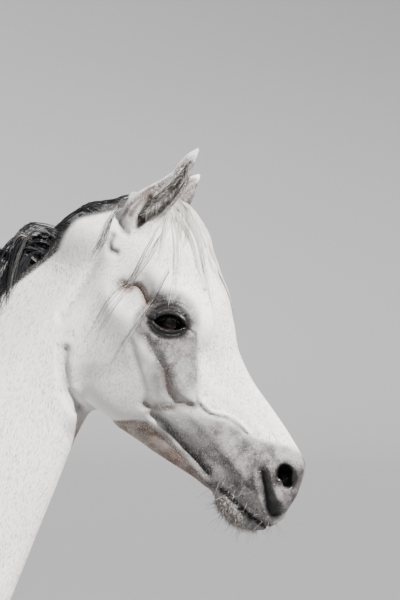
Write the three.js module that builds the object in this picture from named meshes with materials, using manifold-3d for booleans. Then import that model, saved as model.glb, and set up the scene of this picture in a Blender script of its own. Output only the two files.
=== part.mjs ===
// A grey Arabian horse standing at rest, life size, as a set of solid body parts.
// Millimetres. +X is forward, +Y is the horse's left side, +Z is up, and the hooves stand on z = 0.
// The body is described once, as a smooth field that is negative inside the horse: lofts through
// named stations give the outlines, and round masses blended onto them give bones and muscles.
// Each part is then a closed mesh whose rings are found on that field.
import * as THREE from 'three';
import { mergeVertices } from 'three/addons/utils/BufferGeometryUtils.js';
import Module from 'manifold-3d';

const wasm = await Module();
wasm.setup();

// ---------------------------------------------------------------- driving dimensions

const WITHERS_X = 171; // sets the origin under the middle of the whole length
const WITHERS_HEIGHT = 1480;
const POLL_X = WITHERS_X + 660;
const POLL_HEIGHT = 1905;
const HEAD_PITCH = THREE.MathUtils.degToRad(58); // how far the face points below the horizontal
const HEAD_YAW = THREE.MathUtils.degToRad(7); // the nose turns to the horse's right
const NECK_SLOPE = THREE.MathUtils.degToRad(38);
const LEG_TOP = 900; // legs swing forward and back from this height
const FETLOCK_BASE = 90; // below this height a leg keeps its shape however it is swung
const FORE_STEP = { right: -45, left: 70 }; // how far each hoof stands forward of square
const HIND_STEP = { right: -60, left: 95 };
const HOOF_SLOPE = 0.7; // run over rise of the front wall
const HOOF_WALL = 82; // height of the front wall
const HEEL_HEIGHT = 46;
const HOOF_HALF_WIDTH = 60;
const EYE_RADIUS = 24.5;
const EYE_CENTRE = { along: 201, up: -64, out: 70 };
const PART_GAP = 0.3; // clear space between neighbouring parts
const MANE_LIFT = 16; // depth of the mane over the crest
const FORELOCK_LIFT = 7;

// ---------------------------------------------------------------- stations and masses
// A loft row: name, place along the axis, top, bottom, half width high, middle and low, squareness.

// along the face from the poll, up from the line of the face
const HEAD = [
  ['behind the poll', -35, -80, -150, 20, 34, 30, 2.0],
  ['nape', -10, -25, -190, 30, 54, 46, 2.1],
  ['poll', 5, 5, -198, 36, 64, 53, 2.2],
  ['ears', 25, 34, -200, 46, 71, 57, 2.3],
  ['forelock', 60, 54, -198, 60, 79, 61, 2.3],
  ['forehead', 100, 55, -205, 68, 83, 62, 2.4],
  ['brow', 150, 38, -234, 76, 86, 54, 2.5],
  ['eye', 200, 33, -257, 78, 87, 50, 2.5],
  ['below the eye', 250, 17, -252, 66, 84, 48, 2.4],
  ['cheek', 300, -2, -228, 52, 75, 44, 2.3],
  ['end of crest', 350, -7, -221, 41, 64, 40, 2.2],
  ['bridge', 400, -4, -196, 35, 53, 34, 2.2],
  ['bars', 450, -2, -166, 33, 46, 31, 2.2],
  ['nostril', 500, -5, -156, 34, 46, 30, 2.2],
  ['muzzle', 530, -30, -151, 36, 45, 28, 2.2],
  ['lips', 552, -66, -141, 30, 38, 24, 2.2],
  ['nose tip', 565, -82, -120, 18, 24, 16, 2.0],
];

// along the neck from the withers, up from the line of the neck
const NECK = [
  ['in the chest', -70, -80, -520, 60, 120, 110, 2.2],
  ['withers', -20, -26, -560, 44, 150, 135, 2.2],
  ['base', 70, -10, -536, 36, 145, 125, 2.2],
  ['low neck', 177, -14, -472, 33, 122, 108, 2.2],
  ['lower middle', 280, -22, -412, 31, 104, 94, 2.2],
  ['middle', 360, -27, -366, 30, 92, 84, 2.2],
  ['upper middle', 470, -34, -304, 29, 77, 63, 2.2],
  ['high neck', 570, -37, -268, 29, 70, 56, 2.2],
  ['behind the jowl', 650, -36, -254, 30, 67, 54, 2.2],
  ['throat', 720, -44, -248, 32, 64, 54, 2.2],
  ['atlas', 765, -62, -242, 34, 60, 52, 2.2],
  ['in the poll', 800, -110, -230, 24, 40, 40, 2.2],
];

// forward from the withers, up from the floor
const TRUNK = [
  ['point of buttock', -1090, 1335, 1200, 50, 100, 60, 2.2],
  ['dock', -1060, 1378, 1130, 95, 165, 85, 2.3],
  ['tail head', -1000, 1430, 1062, 150, 215, 105, 2.3],
  ['hip joint', -900, 1468, 1020, 170, 238, 118, 2.3],
  ['croup', -780, 1484, 985, 172, 248, 130, 2.3],
  ['point of hip', -680, 1471, 942, 160, 252, 150, 2.3],
  ['flank', -560, 1432, 890, 145, 262, 175, 2.3],
  ['back', -400, 1412, 842, 130, 270, 195, 2.2],
  ['ribs', -250, 1418, 818, 105, 264, 195, 2.2],
  ['girth', -100, 1462, 808, 60, 240, 180, 2.2],
  ['withers', 0, 1484, 808, 36, 222, 165, 2.2],
  ['elbow', 100, 1478, 818, 36, 205, 150, 2.2],
  ['shoulder', 200, 1430, 838, 60, 185, 140, 2.3],
  ['breast', 300, 1310, 880, 90, 165, 125, 2.4],
  ['front of chest', 365, 1200, 945, 90, 135, 100, 2.4],
  ['breastbone', 392, 1120, 1010, 50, 80, 60, 2.2],
];

// A leg row: name, height, front, rear, half width, middle line from the horse's middle.
const FORELEG = [
  ['coronet', 40, 252, 164, 46, 118],
  ['top of hoof', 84, 241, 158, 46, 118],
  ['low pastern', 115, 226, 150, 36, 118],
  ['pastern', 150, 209, 136, 31, 118],
  ['below fetlock', 185, 192, 108, 33, 118],
  ['fetlock', 212, 182, 94, 36, 118],
  ['above fetlock', 245, 172, 104, 30, 119],
  ['cannon', 300, 168, 110, 26, 120],
  ['high cannon', 360, 169, 111, 27, 122],
  ['below knee', 395, 178, 104, 37, 124],
  ['knee', 435, 188, 96, 44, 126],
  ['top of knee', 465, 186, 92, 43, 128],
  ['above knee', 505, 178, 106, 37, 130],
  ['low forearm', 600, 188, 106, 42, 134],
  ['forearm', 700, 202, 92, 52, 142],
  ['high forearm', 800, 214, 74, 62, 150],
  ['elbow', 880, 216, 56, 66, 155],
  ['above elbow', 950, 214, 64, 60, 155],
  ['in the shoulder', 1010, 196, 92, 40, 150],
];
const HINDLEG = [
  ['coronet', 40, -940, -1028, 45, 125],
  ['top of hoof', 84, -953, -1034, 45, 125],
  ['low pastern', 115, -966, -1042, 35, 125],
  ['pastern', 150, -984, -1056, 31, 125],
  ['below fetlock', 188, -1004, -1086, 33, 125],
  ['fetlock', 218, -1020, -1106, 36, 124],
  ['above fetlock', 255, -1032, -1098, 31, 123],
  ['cannon', 320, -1036, -1096, 27, 122],
  ['high cannon', 400, -1030, -1094, 29, 121],
  ['below hock', 460, -1014, -1096, 38, 120],
  ['hock', 520, -996, -1106, 46, 120],
  ['high hock', 570, -978, -1118, 47, 121],
  ['point of hock', 612, -950, -1126, 40, 122],
  ['above hock', 650, -910, -1085, 40, 124],
  ['low gaskin', 700, -858, -1030, 48, 130],
  ['gaskin', 760, -796, -990, 60, 142],
  ['high gaskin', 820, -730, -972, 72, 155],
  ['stifle', 880, -672, -985, 80, 160],
  ['thigh', 960, -660, -1005, 78, 150],
  ['in the haunch', 1040, -700, -980, 60, 140],
];

// A mass: name, one end, other end, radius and half width at each end, depth of its blend.
// Ends are along, outward and up, and every mass has a mirror image on the other side.
const HEAD_MASSES = [
  ['brow', [160, 62, -58], [222, 66, -36], 30, 28, 24, 24, 40],
  ['lids', [199, 58, -66], [200, 60, -66], 42, 42, 34, 34, 36],
  ['lower orbit', [185, 66, -100], [250, 66, -98], 26, 22, 20, 18, 40],
  ['zygomatic arch', [118, 66, -112], [185, 70, -102], 26, 24, 20, 20, 40],
  ['facial crest', [250, 60, -104], [330, 44, -96], 24, 16, 20, 14, 36],
  ['jowl', [203, 52, -150], [226, 50, -158], 97, 90, 35, 33, 38],
  ['nostril', [496, 28, -54], [522, 32, -66], 37, 27, 26, 22, 34],
  ['chin', [498, 0, -144], [518, 0, -142], 24, 22, 28, 26, 24],
  ['bar of the jaw', [292, 30, -211], [442, 20, -149], 20, 17, 14, 12, 24],
];
const HEAD_HOLLOWS = [
  ['temple', [128, 94, -84], [142, 94, -78], 20, 18, 16, 16, 34],
  ['between the jaws', [300, 0, -256], [430, 0, -200], 24, 24, 15, 13, 24],
];
const BODY_MASSES = [
  ['shoulder blade', [60, 70, 1320], [285, 145, 1070], 80, 98, 48, 62, 90],
  ['upper arm', [300, 138, 1055], [150, 150, 950], 84, 76, 60, 58, 60],
  ['triceps', [0, 145, 1170], [95, 150, 950], 120, 70, 62, 50, 80],
  ['breast', [335, 60, 1015], [290, 70, 930], 78, 66, 62, 60, 60],
  ['thigh', [-870, 120, 1290], [-745, 155, 920], 185, 120, 112, 86, 90],
  ['buttock', [-1036, 80, 1235], [-945, 112, 890], 94, 92, 80, 74, 90],
  ['rump', [-990, 0, 1300], [-1005, 0, 1190], 120, 112, 95, 85, 70],
  ['hip to stifle', [-665, 130, 1345], [-700, 170, 980], 60, 90, 84, 62, 90],
];
const NECK_BLEND = 70;
const LEG_BLEND = 45;
const HEAD_BLEND = 22;

// An ear row: name, place along the ear, front edge, back edge, half depth.
const EAR_BASE = { along: 27, up: -5, out: 54 };
const EAR_LEAN = THREE.MathUtils.degToRad(108.8); // from the line of the face
const EAR_TILT = { // how far each ear leans outward
  right: THREE.MathUtils.degToRad(3),
  left: THREE.MathUtils.degToRad(43),
};
const EAR_OUTER = [
  ['root', -40, 10, -18, 12],
  ['low base', -28, 20, -30, 19],
  ['base', 0, 24, -37, 21],
  ['bell', 20, 27, -30, 20],
  ['lower middle', 43, 29, -20, 18],
  ['middle', 60, 29, -13, 16],
  ['upper middle', 76, 26, -9, 13],
  ['high', 94, 19, -9, 10],
  ['near the tip', 112, 12, -7, 6],
  ['tip', 136, 5, 2, 1.6],
];
const EAR_HOLLOW = [
  ['notch', -30, 10, 2, 5],
  ['base', 0, 15, -5, 13],
  ['bell', 21, 23, -3, 18],
  ['lower middle', 43, 25, 1, 17],
  ['middle', 60, 24, 4, 14],
  ['upper middle', 77, 21, 5, 11],
  ['high', 93, 14, 5, 6],
  ['near the tip', 103, 11, 5, 3],
];

// ---------------------------------------------------------------- field

/** Smooth interpolation through a table of named rows, one column at a time. */
function curves(rows) {
  const at = rows.map((row) => row[1]);
  const columns = rows[0].slice(2).map((_, c) => {
    const value = rows.map((row) => row[c + 2]);
    const rise = value.slice(1).map((v, i) => (v - value[i]) / (at[i + 1] - at[i]));
    const slope = value.map((_v, i) => {
      if (i === 0) return rise[0];
      if (i === rise.length) return rise[i - 1];
      if (rise[i - 1] * rise[i] <= 0) return 0;
      const before = at[i] - at[i - 1];
      const after = at[i + 1] - at[i];
      const a = 2 * after + before;
      const b = after + 2 * before;
      return (a + b) / (a / rise[i - 1] + b / rise[i]);
    });
    return { value, slope };
  });
  return {
    first: at[0],
    last: at[at.length - 1],
    sample(place) {
      const x = THREE.MathUtils.clamp(place, at[0], at[at.length - 1]);
      let i = 0;
      while (i < at.length - 2 && x > at[i + 1]) i += 1;
      const span = at[i + 1] - at[i];
      const t = (x - at[i]) / span;
      return columns.map(({ value, slope }) => value[i] * (1 + 2 * t) * (1 - t) ** 2
        + slope[i] * span * t * (1 - t) ** 2
        + value[i + 1] * t * t * (3 - 2 * t)
        + slope[i + 1] * span * t * t * (t - 1));
    },
  };
}

/** Distance past the side and past the ends of a loft, joined. */
function closeEnds(side, place, first, last) {
  const end = Math.max(first - place, place - last);
  return Math.min(Math.max(side, end), 0) + Math.hypot(Math.max(side, 0), Math.max(end, 0));
}

/** Near distance to a superellipse with the given half sizes. */
function sectionDistance(across, up, halfWidth, halfHeight, power) {
  const a = Math.abs(across) / halfWidth + 1e-6;
  const u = Math.abs(up) / halfHeight + 1e-6;
  const k = (a ** power + u ** power) ** (1 / power);
  const fall = k ** (1 - power)
    * Math.hypot(a ** (power - 1) / halfWidth, u ** (power - 1) / halfHeight);
  return (k - 1) / fall;
}

/** Loft whose half width changes from a low to a middle to a high value. */
function loftDistance(table, along, up, across) {
  const [top, bottom, wideTop, wideMiddle, wideLow, power] = table.sample(along);
  const halfHeight = (top - bottom) / 2;
  const height = (up - (top + bottom) / 2) / halfHeight;
  const edge = Math.min(Math.abs(height), 1);
  const ease = edge * edge * (3 - 2 * edge);
  const width = wideMiddle + ((height > 0 ? wideTop : wideLow) - wideMiddle) * ease;
  const side = sectionDistance(across, height * halfHeight, width, halfHeight, power);
  return closeEnds(side, along, table.first, table.last);
}

/** Round cone between two points, flattened sideways. */
function massDistance([, from, to, radiusA, radiusB, widthA, widthB], along, out, up) {
  const axis = [to[0] - from[0], to[1] - from[1], to[2] - from[2]];
  const off = [along - from[0], out - from[1], up - from[2]];
  const length2 = axis[0] ** 2 + axis[1] ** 2 + axis[2] ** 2;
  const dot = off[0] * axis[0] + off[1] * axis[1] + off[2] * axis[2];
  const h = THREE.MathUtils.clamp(dot / length2, 0, 1);
  const [x, y, z] = off.map((v, i) => v - h * axis[i]);
  const radius = radiusA + (radiusB - radiusA) * h;
  const width = widthA + (widthB - widthA) * h;
  const flat = x * x + z * z;
  const k = Math.sqrt(flat / radius ** 2 + (y / width) ** 2);
  const fall = Math.sqrt(flat / radius ** 4 + y ** 2 / width ** 4) + 1e-9;
  return k < 1e-3 ? -Math.min(radius, width) : (k * (k - 1)) / fall;
}

/** Union of two distances with a rounded inner corner. */
function blend(a, b, depth) {
  const h = Math.max(depth - Math.abs(a - b), 0) / depth;
  return Math.min(a, b) - (h * h * depth) / 4;
}

/** The first distance with the second carved out of it. */
function carve(a, b, depth) {
  return -blend(-a, b, depth);
}

function addMasses(field, masses, along, out, up) {
  return masses.reduce(
    (sum, mass) => blend(sum, massDistance(mass, along, Math.abs(out), up), mass[7]),
    field,
  );
}

const headTable = curves(HEAD);
const neckTable = curves(NECK);
const trunkTable = curves(TRUNK);
const legTables = { fore: curves(FORELEG), hind: curves(HINDLEG) };
const legSteps = { fore: FORE_STEP, hind: HIND_STEP };
const sideSigns = { right: -1, left: 1 };

/** Head coordinates (along the face, up from it, sideways) of a point of the world. */
function toHead(x, y, z) {
  const dx = x - POLL_X;
  const forward = dx * Math.cos(HEAD_YAW) - y * Math.sin(HEAD_YAW);
  const rise = z - POLL_HEIGHT;
  return [
    forward * Math.cos(HEAD_PITCH) - rise * Math.sin(HEAD_PITCH),
    forward * Math.sin(HEAD_PITCH) + rise * Math.cos(HEAD_PITCH),
    dx * Math.sin(HEAD_YAW) + y * Math.cos(HEAD_YAW),
  ];
}

/** World point of head coordinates. */
function fromHead(along, up, out) {
  const forward = along * Math.cos(HEAD_PITCH) + up * Math.sin(HEAD_PITCH);
  return new THREE.Vector3(
    POLL_X + forward * Math.cos(HEAD_YAW) + out * Math.sin(HEAD_YAW),
    out * Math.cos(HEAD_YAW) - forward * Math.sin(HEAD_YAW),
    POLL_HEIGHT - along * Math.sin(HEAD_PITCH) + up * Math.cos(HEAD_PITCH),
  );
}

function headField(x, y, z) {
  const [along, up, out] = toHead(x, y, z);
  const solid = addMasses(loftDistance(headTable, along, up, out), HEAD_MASSES, along, out, up);
  return HEAD_HOLLOWS.reduce(
    (field, mass) => carve(field, massDistance(mass, along, Math.abs(out), up), mass[7]),
    solid,
  );
}

function neckField(x, y, z) {
  const forward = x - WITHERS_X;
  const rise = z - WITHERS_HEIGHT;
  const along = forward * Math.cos(NECK_SLOPE) + rise * Math.sin(NECK_SLOPE);
  const up = rise * Math.cos(NECK_SLOPE) - forward * Math.sin(NECK_SLOPE);
  return loftDistance(neckTable, along, up, y);
}

function trunkField(x, y, z) {
  const along = x - WITHERS_X;
  return addMasses(loftDistance(trunkTable, along, z, y), BODY_MASSES, along, y, z);
}

/** Middle, half length and half width of a leg at a height. */
function legSection(kind, side, height) {
  const [front, rear, halfWidth, middle] = legTables[kind].sample(height);
  const swing = THREE.MathUtils.clamp((LEG_TOP - height) / (LEG_TOP - FETLOCK_BASE), 0, 1);
  const step = WITHERS_X + legSteps[kind][side] * swing;
  return {
    front: front + step,
    rear: rear + step,
    halfWidth,
    middle: middle * sideSigns[side],
  };
}

function legField(kind, side, x, y, z) {
  const { first, last } = legTables[kind];
  const { front, rear, halfWidth, middle } = legSection(kind, side, z);
  const across = x - (front + rear) / 2;
  const distance = sectionDistance(y - middle, across, halfWidth, (front - rear) / 2, 2.2);
  return closeEnds(distance, z, first, last);
}

/** Head, neck and trunk together, without the legs. */
function bodyField(x, y, z) {
  const body = blend(trunkField(x, y, z), neckField(x, y, z), NECK_BLEND);
  return blend(body, headField(x, y, z), HEAD_BLEND);
}

// ---------------------------------------------------------------- meshes

/** How far along a ray from inside the body the field reaches a level. */
function reach(field, origin, direction, level, limit) {
  const value = (r) => field(
    origin.x + direction.x * r,
    origin.y + direction.y * r,
    origin.z + direction.z * r,
  ) - level;
  const stride = 10;
  let far = stride;
  while (far < limit && value(far) < 0) far += stride;
  if (far >= limit) return limit;
  let near = far - stride;
  for (let i = 0; i < 16; i += 1) {
    const middle = (near + far) / 2;
    if (value(middle) < 0) near = middle;
    else far = middle;
  }
  return (near + far) / 2;
}

/** Indexed geometry of a closed mesh, with its faces turned outward. */
function closedGeometry(points, faces) {
  const volume = faces.reduce((sum, _, i) => {
    if (i % 3) return sum;
    const [a, b, c] = [points[faces[i]], points[faces[i + 1]], points[faces[i + 2]]];
    return sum + a.dot(new THREE.Vector3().crossVectors(b, c));
  }, 0);
  const geometry = new THREE.BufferGeometry().setFromPoints(points);
  geometry.setIndex(volume > 0 ? faces : faces.slice().reverse());
  return geometry;
}

/** Triangles of the walls between rings of points. */
function wallFaces(rings, count) {
  const faces = [];
  for (let i = 0; i < rings - 1; i += 1) {
    for (let j = 0; j < count; j += 1) {
      const a = i * count + j;
      const b = i * count + ((j + 1) % count);
      faces.push(a, b, b + count, a, b + count, a + count);
    }
  }
  return faces;
}

/** Closed mesh from rings of equal length, with a fan over each end. */
function ringGeometry(rings) {
  const count = rings[0].length;
  const points = rings.flat();
  const faces = wallFaces(rings.length, count);
  for (const end of [0, rings.length - 1]) {
    const middle = new THREE.Vector3();
    rings[end].forEach((p) => middle.addScaledVector(p, 1 / count));
    points.push(middle);
    for (let j = 0; j < count; j += 1) {
      const edge = [end * count + j, end * count + ((j + 1) % count)];
      faces.push(points.length - 1, ...(end === 0 ? edge.reverse() : edge));
    }
  }
  return closedGeometry(points, faces);
}

/** Closed mesh between an inner and an outer grid of points. */
function shellGeometry(inner, outer) {
  const columns = inner[0].length;
  const count = columns * 2;
  const rings = outer.map((row, i) => [...row, ...inner[i].slice().reverse()]);
  const faces = wallFaces(rings.length, count);
  for (const end of [0, rings.length - 1]) {
    for (let j = 0; j < columns - 1; j += 1) {
      const quad = [j, j + 1, count - 2 - j, count - 1 - j].map((n) => end * count + n);
      const [a, b, c, d] = end === 0 ? quad.reverse() : quad;
      faces.push(a, b, c, a, c, d);
    }
  }
  return closedGeometry(rings.flat(), faces);
}

/** manifold solid of a closed mesh. */
function solidOf(geometry) {
  const bare = geometry.clone();
  bare.deleteAttribute('normal');
  bare.deleteAttribute('uv');
  const merged = mergeVertices(bare, 1e-4);
  return new wasm.Manifold(new wasm.Mesh({
    numProp: 3,
    vertProperties: new Float32Array(merged.getAttribute('position').array),
    triVerts: new Uint32Array(merged.getIndex().array),
  }));
}

/** Geometry of the largest piece of a manifold solid. */
function geometryOf(solid) {
  const pieces = solid.decompose().sort((a, b) => b.volume() - a.volume());
  const mesh = pieces[0].getMesh();
  const geometry = new THREE.BufferGeometry();
  geometry.setAttribute('position', new THREE.BufferAttribute(mesh.vertProperties, 3));
  geometry.setIndex(new THREE.BufferAttribute(mesh.triVerts, 1));
  return geometry;
}

/** A section plane through two points of the outline, as its centre and half axes. */
function section(top, bottom, halfWidth, side = new THREE.Vector3(0, 1, 0)) {
  return {
    centre: top.clone().lerp(bottom, 0.5),
    up: top.clone().sub(bottom).divideScalar(2),
    side: side.clone().multiplyScalar(halfWidth),
  };
}

/** Direction from the centre of a section, at an angle from its top. */
function rayAt(plane, angle) {
  return plane.up.clone().multiplyScalar(Math.cos(angle))
    .addScaledVector(plane.side, Math.sin(angle))
    .normalize();
}

/** Point where the field reaches a level, at an angle in a section. */
function pointOn(field, plane, angle, level, limit) {
  const direction = rayAt(plane, angle);
  const radius = reach(field, plane.centre, direction, level, limit);
  return plane.centre.clone().addScaledVector(direction, radius);
}

/** A ring of points where the field reaches a level in a section. */
function ringOn(field, plane, rays, level = 0, limit = 600) {
  return Array.from(
    { length: rays },
    (_, j) => pointOn(field, plane, (2 * Math.PI * j) / rays, level, limit),
  );
}

/** Moves every point of a ring along a direction. */
function shiftRing(ring, direction, distance) {
  return ring.map((p) => p.clone().addScaledVector(direction, distance));
}

/** Moves the first and last rings apart, so that a grown body is longer too. */
function stretchEnds(rings, distance) {
  const middles = rings.map((ring) => ring[0].clone().lerp(ring[ring.length / 2], 0.5));
  const last = rings.length - 1;
  const back = middles[0].clone().sub(middles[1]).normalize();
  const ahead = middles[last].clone().sub(middles[last - 1]).normalize();
  return [
    shiftRing(rings[0], back, distance),
    ...rings.slice(1, last),
    shiftRing(rings[last], ahead, distance),
  ];
}

/** Heights from one level to another in equal steps. */
function levels(from, to, steps) {
  return Array.from({ length: steps + 1 }, (_, i) => from + ((to - from) * i) / steps);
}

const alongBody = (x, z) => new THREE.Vector3(WITHERS_X + x, 0, z);

// ---------------------------------------------------------------- trunk and neck

const TRUNK_RAYS = 26;
const NECK_RAYS = 22;
const OUTLINE_GUESS = 250; // half width that only sets how the rays spread

const THIGH_CUT = { height: 925, front: -640 }; // the thighs below this belong to the legs

/** Sections of the trunk, upright at the back and leaning with the shoulder in front. */
function trunkSections() {
  const upright = [-1118, -1105, -1080, -1040, ...levels(-990, -90, 11)].map((x) => {
    const [top, bottom] = trunkTable.sample(x);
    return section(alongBody(x, top), alongBody(x, bottom), OUTLINE_GUESS);
  });
  const leaning = [
    [[-20, 1484], [30, 808]],
    [[8, 1487], [120, 820]],
    [[28, 1492], [210, 840]],
    [[42, 1497], [292, 878]],
    [[51, 1502], [350, 930]],
    [[56, 1505], [384, 1010]],
    [[60, 1508], [396, 1100]],
  ].map(([top, bottom]) => section(alongBody(...top), alongBody(...bottom), OUTLINE_GUESS));
  return [...upright, ...leaning];
}

/** Sections of the neck, from its base to the poll. */
function neckSections() {
  return [
    [[60, 1508], [396, 1100]],
    [[112, 1543], [408, 1172]],
    [[180, 1590], [438, 1248]],
    [[250, 1640], [478, 1324]],
    [[322, 1692], [516, 1394]],
    [[394, 1742], [552, 1456]],
    [[462, 1790], [588, 1512]],
    [[524, 1838], [622, 1562]],
    [[572, 1872], [650, 1600]],
    [[606, 1890], [668, 1626]],
  ].map(([top, bottom]) => section(alongBody(...top), alongBody(...bottom), 150));
}

const bodyWithoutHead = (x, y, z) => blend(
  trunkField(x, y, z),
  neckField(x, y, z),
  NECK_BLEND,
);

function trunkGeometry(level = 0) {
  const front = WITHERS_X + THIGH_CUT.front;
  const field = (x, y, z) => {
    const body = bodyWithoutHead(x, y, z);
    return x < front ? Math.max(body, THIGH_CUT.height - z) : body;
  };
  const rings = trunkSections().map((plane) => ringOn(field, plane, TRUNK_RAYS, level));
  return ringGeometry(stretchEnds(rings, level));
}

function neckGeometry(level = 0) {
  const rings = neckSections().map((plane) => (
    ringOn(bodyWithoutHead, plane, NECK_RAYS, level)
  ));
  const [base] = neckSections();
  const forward = new THREE.Vector3().crossVectors(base.side, base.up).normalize();
  rings[0] = shiftRing(rings[0], forward, PART_GAP);
  return ringGeometry(stretchEnds(rings, level));
}

// ---------------------------------------------------------------- head

const HEAD_RAYS = 22;
const HEAD_RINGS = [
  -34, -22, -4, ...levels(14, 494, 20), 512, 528, 542, 553, 561.5,
];

function headSections() {
  const side = new THREE.Vector3(Math.sin(HEAD_YAW), Math.cos(HEAD_YAW), 0);
  return HEAD_RINGS.map((along) => {
    const [top, bottom] = headTable.sample(along);
    return section(fromHead(along, top, 0), fromHead(along, bottom, 0), 80, side);
  });
}

function headGeometry(level = 0) {
  const rings = headSections().map((plane) => ringOn(headField, plane, HEAD_RAYS, level));
  return ringGeometry(stretchEnds(rings, level));
}

/** An ellipsoid at a place of the head, its long axis dipping forward by an angle. */
function headEllipsoid({ along, up, out, dip, half }) {
  const geometry = new THREE.SphereGeometry(1, 12, 7);
  geometry.scale(half[0], half[1], half[2]);
  geometry.rotateY(THREE.MathUtils.degToRad(dip));
  geometry.rotateZ(-HEAD_YAW);
  const centre = fromHead(along, up, out);
  return geometry.translate(centre.x, centre.y, centre.z);
}

const EYE_OPENING = { along: 202, up: -63, out: 100, dip: 11, half: [25, 14, 16] };
const NOSTRIL = { along: 507, up: -40, out: 60, dip: -38, half: [18, 20, 12] };

/** The same place on both sides of the head. */
const onBothSides = (place) => [place, { ...place, out: -place.out }];

function eyeGeometry(side, growth = 0) {
  const geometry = new THREE.SphereGeometry(EYE_RADIUS + growth, 12, 8);
  const out = EYE_CENTRE.out * sideSigns[side];
  const centre = fromHead(EYE_CENTRE.along, EYE_CENTRE.up, out);
  return geometry.translate(centre.x, centre.y, centre.z);
}

// ---------------------------------------------------------------- ears

const EAR_RAYS = 12;

/** World point of ear coordinates: along the ear, forward across it and outward. */
function fromEar(side, along, across, out) {
  const tilt = EAR_TILT[side];
  const rise = along * Math.cos(tilt) - out * Math.sin(tilt);
  const spread = out * Math.cos(tilt) + along * Math.sin(tilt);
  const head = {
    along: EAR_BASE.along + rise * Math.cos(EAR_LEAN) + across * Math.sin(EAR_LEAN),
    up: EAR_BASE.up + rise * Math.sin(EAR_LEAN) - across * Math.cos(EAR_LEAN),
  };
  return fromHead(head.along, head.up, (EAR_BASE.out + spread) * sideSigns[side]);
}

/** Rings of an ear row table, moved outward in proportion to the depth of the row. */
function earRings(side, rows, places, outward) {
  const table = curves(rows);
  return places.map((along) => {
    const [front, back, depth] = table.sample(along);
    return Array.from({ length: EAR_RAYS }, (_, j) => {
      const angle = (2 * Math.PI * j) / EAR_RAYS;
      const across = (front + back) / 2 + ((front - back) / 2) * Math.cos(angle);
      return fromEar(side, along, across, outward(along) + depth * Math.sin(angle));
    });
  });
}

/** The whole outside of an ear. */
function earGeometry(side, growth = 0) {
  const places = [-40, -24, 0, 22, 42, 60, 80, 100, 120, 136];
  const grown = EAR_OUTER.map(([name, along, front, back, depth]) => (
    [name, along, front + growth, back - growth, depth + growth]
  ));
  return ringGeometry(earRings(side, grown, places, () => 0));
}

/** An ear with the hollow that opens outward. */
function earSolid(side) {
  const outerTable = curves(EAR_OUTER);
  const places = [-28, -8, 10, 26, 43, 60, 77, 92, 102];
  const hollow = earRings(side, EAR_HOLLOW, places, (along) => outerTable.sample(along)[2] * 1.05);
  return solidOf(earGeometry(side)).subtract(solidOf(ringGeometry(hollow)));
}

// ---------------------------------------------------------------- legs and hooves

const LEG_RAYS = 12;
const LEG_REACH = 1.3; // how far past its own half width an upper leg follows its blend
const LEG_CUTS = { fore: 470, hind: 665 }; // above the knee and above the hock
const LOWER_LEVELS = {
  fore: [115, 150, 185, 212, 245, 300, 360, 395, 435, LEG_CUTS.fore - PART_GAP],
  hind: [115, 150, 188, 218, 255, 320, 400, 460, 520, 570, 612, LEG_CUTS.hind - PART_GAP],
};
const UPPER_LEVELS = {
  fore: [LEG_CUTS.fore, 505, 550, 600, 660, 720, 780, 830, 870, 910, 955, 1000],
  hind: [...levels(LEG_CUTS.hind, 925, 7), 960, 1000],
};

/** Level section of a leg. */
function legPlane(kind, side, height) {
  const { front, rear, halfWidth, middle } = legSection(kind, side, height);
  return section(
    new THREE.Vector3(front, middle, height),
    new THREE.Vector3(rear, middle, height),
    halfWidth,
  );
}

function lowerLegGeometry(kind, side) {
  const field = (x, y, z) => legField(kind, side, x, y, z);
  const rings = LOWER_LEVELS[kind].map((height) => (
    ringOn(field, legPlane(kind, side, height), LEG_RAYS)
  ));
  const hoof = hoofRings(kind, side);
  const coronet = hoof[hoof.length - 1];
  const middle = new THREE.Vector3();
  coronet.forEach((p) => middle.addScaledVector(p, 1 / coronet.length));
  const inset = coronet.map((p) => p.clone().lerp(middle, 0.06));
  rings.unshift(shiftRing(inset, new THREE.Vector3(0, 0, 1), PART_GAP));
  return ringGeometry(rings);
}

/** Upper leg, run up inside the trunk. */
function upperLegGeometry(kind, side) {
  const field = (x, y, z) => Math.max(
    blend(legField(kind, side, x, y, z), trunkField(x, y, z), LEG_BLEND),
    PART_GAP - y * sideSigns[side],
  );
  return ringGeometry(UPPER_LEVELS[kind].map((height) => {
    const { front, rear } = legSection(kind, side, height);
    const limit = ((front - rear) / 2) * LEG_REACH;
    return ringOn(field, legPlane(kind, side, height), LEG_RAYS, 0, limit);
  }));
}

/** Rings of a hoof from the floor to the coronet, which slopes down to the heel. */
function hoofRings(kind, side) {
  const { front, rear, middle } = legSection(kind, side, HOOF_WALL);
  const toe = front + 5 + HOOF_SLOPE * HOOF_WALL;
  const heel = rear + 24;
  return [0, 0.35, 0.75, 1].map((rise) => {
    const frontX = THREE.MathUtils.lerp(toe, front + 5, rise);
    const rearX = THREE.MathUtils.lerp(heel, rear + 2, rise);
    const halfWidth = THREE.MathUtils.lerp(HOOF_HALF_WIDTH, 50, rise);
    return Array.from({ length: LEG_RAYS }, (_, j) => {
      const angle = (2 * Math.PI * j) / LEG_RAYS;
      const ahead = (1 + Math.cos(angle)) / 2;
      const squareness = THREE.MathUtils.lerp(0.75, 1, ahead);
      const across = Math.sign(Math.sin(angle)) * Math.abs(Math.sin(angle)) ** squareness;
      return new THREE.Vector3(
        THREE.MathUtils.lerp(rearX, frontX, ahead),
        middle + halfWidth * across * THREE.MathUtils.lerp(0.86, 1, ahead),
        rise * THREE.MathUtils.lerp(HEEL_HEIGHT, HOOF_WALL, ahead),
      );
    });
  });
}

// ---------------------------------------------------------------- mane, forelock and tail

const MANE_STATIONS = 13;
const MANE_COLUMNS = 8;
const HAIR_CLEARANCE = 3; // the hair's solids stay this far off the skin

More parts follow.
